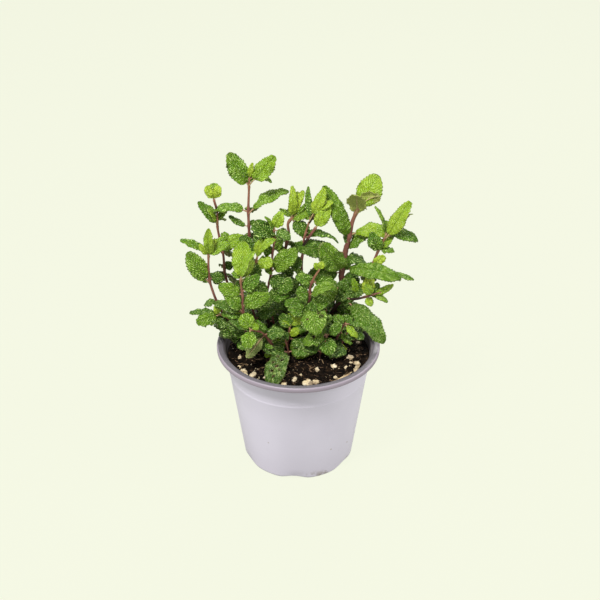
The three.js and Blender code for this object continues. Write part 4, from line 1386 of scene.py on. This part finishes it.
def grit_material():
    material, nodes, shader = new_material("pale_grit")
    place = nodes.object_place()
    tone = nodes.noise(place, 220.0, 4.0, 0.65)
    colour = nodes.ramp(tone, [(0.3, (0.36, 0.25, 0.13)), (0.5, (0.66, 0.55, 0.36)),
                               (0.7, (0.85, 0.78, 0.62))])
    soot = nodes.range(nodes.noise(place, 110.0, 3.0), 0.5, 0.66)
    colour = nodes.blend(nodes.math("MULTIPLY", soot, 0.8), colour, (0.16, 0.095, 0.05, 1))
    nodes.feed(shader, {
        "Base Color": colour, "Roughness": nodes.range(tone, 0.3, 0.7, 0.7, 0.9),
        "Normal": nodes.bump(nodes.noise(place, 700.0, 4.0), 0.5, 0.4 * MM),
    })
    return material


# Grit on the soil: right, back and half its width, in mm.
GRIT = [
    (-50, -24, 1.6), (-38, -38, 3.6), (-28, -41, 1.4), (-3, -45, 2.6), (2, -38, 1.4),
    (-12, -51, 2.2), (-9, -56, 1.6), (3, -56, 3.0), (9, -50, 3.8), (14, -50, 3.6),
    (16, -31, 2.4), (20, -55, 1.8), (23, -53, 2.2), (28, -51, 1.6), (31, -41, 1.8),
    (40, -25, 1.8), (50, -24, 2.2), (50, -20, 3.2), (45, -18, 1.5), (-20, -46, 1.2),
    (-46, -30, 3.0), (-50, -10, 2.2), (30, -24, 2.4), (44, -12, 3.0), (-16, -40, 1.8),
    (35, 38, 2.4), (-30, 42, 2.8), (4, 50, 2.0), (-50, 12, 1.8), (20, 46, 1.5),
    (-10, 44, 2.3), (52, 14, 2.0), (-42, 30, 1.6),
]


def make_grit():
    material = grit_material()
    chance = random.Random(5)
    for number in (1, 2, 3):
        node = f"pebble_{number}"
        low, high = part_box(node)
        bm = bmesh.new()
        half = (high - low) / 2
        ball = bmesh.ops.create_icosphere(bm, subdivisions=3, radius=1)["verts"]
        for vert in ball:
            vert.co *= 0.9 + 0.28 * noise.noise(vert.co * 1.2 + Vector((number, 0, 0)))
        bmesh.ops.transform(bm, verts=ball, matrix=Matrix.Translation((low + high) / 2)
                            @ Matrix.Diagonal((half.x, half.y, half.z, 1)))
        make_piece(f"grit_{node}", bm, [material], [node])
    bm = bmesh.new()
    for x, y, size in GRIT:
        x, y = x * MM, y * MM
        place = Vector((x, y, ground_height(x, y) + soil_relief(x, y) + 0.4 * size * MM))
        add_lump(bm, chance, place, size * MM, 0.6, 3, 0.6)
    make_piece("grit_stones", bm, [material])

    def add_one(bm, number):
        add_lump(bm, chance, on_ground(chance, 3 * MM) + UP * 0.3 * MM,
                 chance.uniform(0.25, 0.75) * MM, 0.6)

    make_piece("grit_small", in_batches(190, add_one), [material])


def root_material():
    material, nodes, shader = new_material("dry_root")
    tone = nodes.noise(nodes.object_place(), 260.0, 3.0)
    colour = nodes.ramp(tone, [(0.3, (0.16, 0.09, 0.045)), (0.5, (0.50, 0.36, 0.20)),
                               (0.7, (0.72, 0.58, 0.38))])
    nodes.feed(shader, {
        "Base Color": colour, "Roughness": nodes.range(tone, 0.3, 0.7, 0.85, 0.65),
        "Normal": nodes.bump(tone, 0.5, 0.3 * MM),
    })
    return material


def make_bare_root():
    centres = [centre for centre, _ in ring_middles("bare_root")]
    line = along_spline(centres, 1 * MM)
    radii = [mix(1.0, 0.45, i / len(line)) * MM * (1 + 0.25 * noise.noise(point * 400))
             for i, point in enumerate(line)]
    bm = bmesh.new()
    add_rod(bm, line, radii, 8, 0)
    make_piece("old_root", bm, [root_material()], ["bare_root"])


# ---------- camera, lights and floor ----------

def aim(holder, place, target):
    away = Vector(place) - Vector(target)
    holder.matrix_world = (Matrix.Translation(place)
                           @ away.to_track_quat("Z", "Y").to_matrix().to_4x4())


CAMERA_TILT = math.radians(31)     # above level, and the camera is 1 m from its target
CAMERA_TARGET = Vector((1.4 * MM, 0, POT_HEIGHT + 42.1 * MM))
CAMERA_LENS = 71.34


def make_camera():
    away = Vector((0, -math.cos(CAMERA_TILT), math.sin(CAMERA_TILT)))
    data = bpy.data.cameras.new("camera")
    data.sensor_width = 36
    data.lens = CAMERA_LENS
    camera = bpy.data.objects.new("camera", data)
    bpy.context.scene.collection.objects.link(camera)
    aim(camera, CAMERA_TARGET + away, CAMERA_TARGET)
    bpy.context.scene.camera = camera


LIGHT_COLOUR = (1, 0.985, 0.93)
LIGHT_TARGET = (0, 0, 0.14)
# Name, place, size and power of each lamp.
LIGHTS = [
    ("key", (-0.35, -0.60, 1.25), 0.30, 19),
    ("front", (0.25, -1.40, 0.55), 0.8, 3.8),
    ("fill", (1.1, -0.15, 0.6), 0.8, 8.5),
    ("left", (-1.2, -0.15, 0.5), 0.8, 5.5),
    ("back", (0.2, 1.0, 0.95), 0.6, 8),
]


def area_light(name, place, size, power):
    data = bpy.data.lights.new(name, "AREA")
    data.shape = "DISK"
    data.size = size
    data.energy = power
    data.color = LIGHT_COLOUR
    light = bpy.data.objects.new(name, data)
    bpy.context.scene.collection.objects.link(light)
    aim(light, place, LIGHT_TARGET)


FLOOR_COLOUR = (0.913, 0.939, 0.776)
FLOOR_REACH = 40        # metres from the middle to each side
WORLD_COLOUR = (1, 1, 0.98, 1)
WORLD_STRENGTH = 0.26


def make_world():
    world = bpy.data.worlds.new("studio")
    world.use_nodes = True
    sky = world.node_tree.nodes["Background"].inputs
    sky["Color"].default_value = WORLD_COLOUR
    sky["Strength"].default_value = WORLD_STRENGTH
    bpy.context.scene.world = world


def make_lights():
    for light in LIGHTS:
        area_light(*light)


def make_floor():
    bm = bmesh.new()
    bmesh.ops.create_grid(bm, x_segments=1, y_segments=1, size=FLOOR_REACH)
    mesh = bpy.data.meshes.new("floor")
    bm.to_mesh(mesh)
    bm.free()
    floor = bpy.data.objects.new("floor", mesh)
    bpy.context.scene.collection.objects.link(floor)
    material, nodes, shader = new_material("pale_floor")
    seen = nodes.add("ShaderNodeLightPath").outputs["Is Camera Ray"]
    nodes.feed(shader, {
        "Base Color": (0.02, 0.02, 0.02, 1), "Roughness": 1.0, "Specular IOR Level": 0.0,
        "Emission Color": (*FLOOR_COLOUR, 1),
        "Emission Strength": nodes.range(seen, 0.0, 1.0, 0.55, 0.965)})
    mesh.materials.append(material)


def make_stage():
    bpy.context.scene.view_settings.view_transform = "Standard"
    make_world()
    make_lights()
    make_floor()


# ---------- the whole ----------

def make_plant():
    stems = read_stems()
    add_twigs(stems)
    veins = vein_group()
    materials = [blade_material(veins), under_material(veins), stalk_material()]
    make_framed_leaves(stems, materials)
    make_small_leaves(stems, materials)
    add_low_shoots(stems)
    make_fill_leaves(stems, materials)
    make_stems(stems)


make_camera()
make_stage()
make_pot()
make_soil()
make_crumbs()
make_fibres()
make_grit()
make_bare_root()
make_plant()
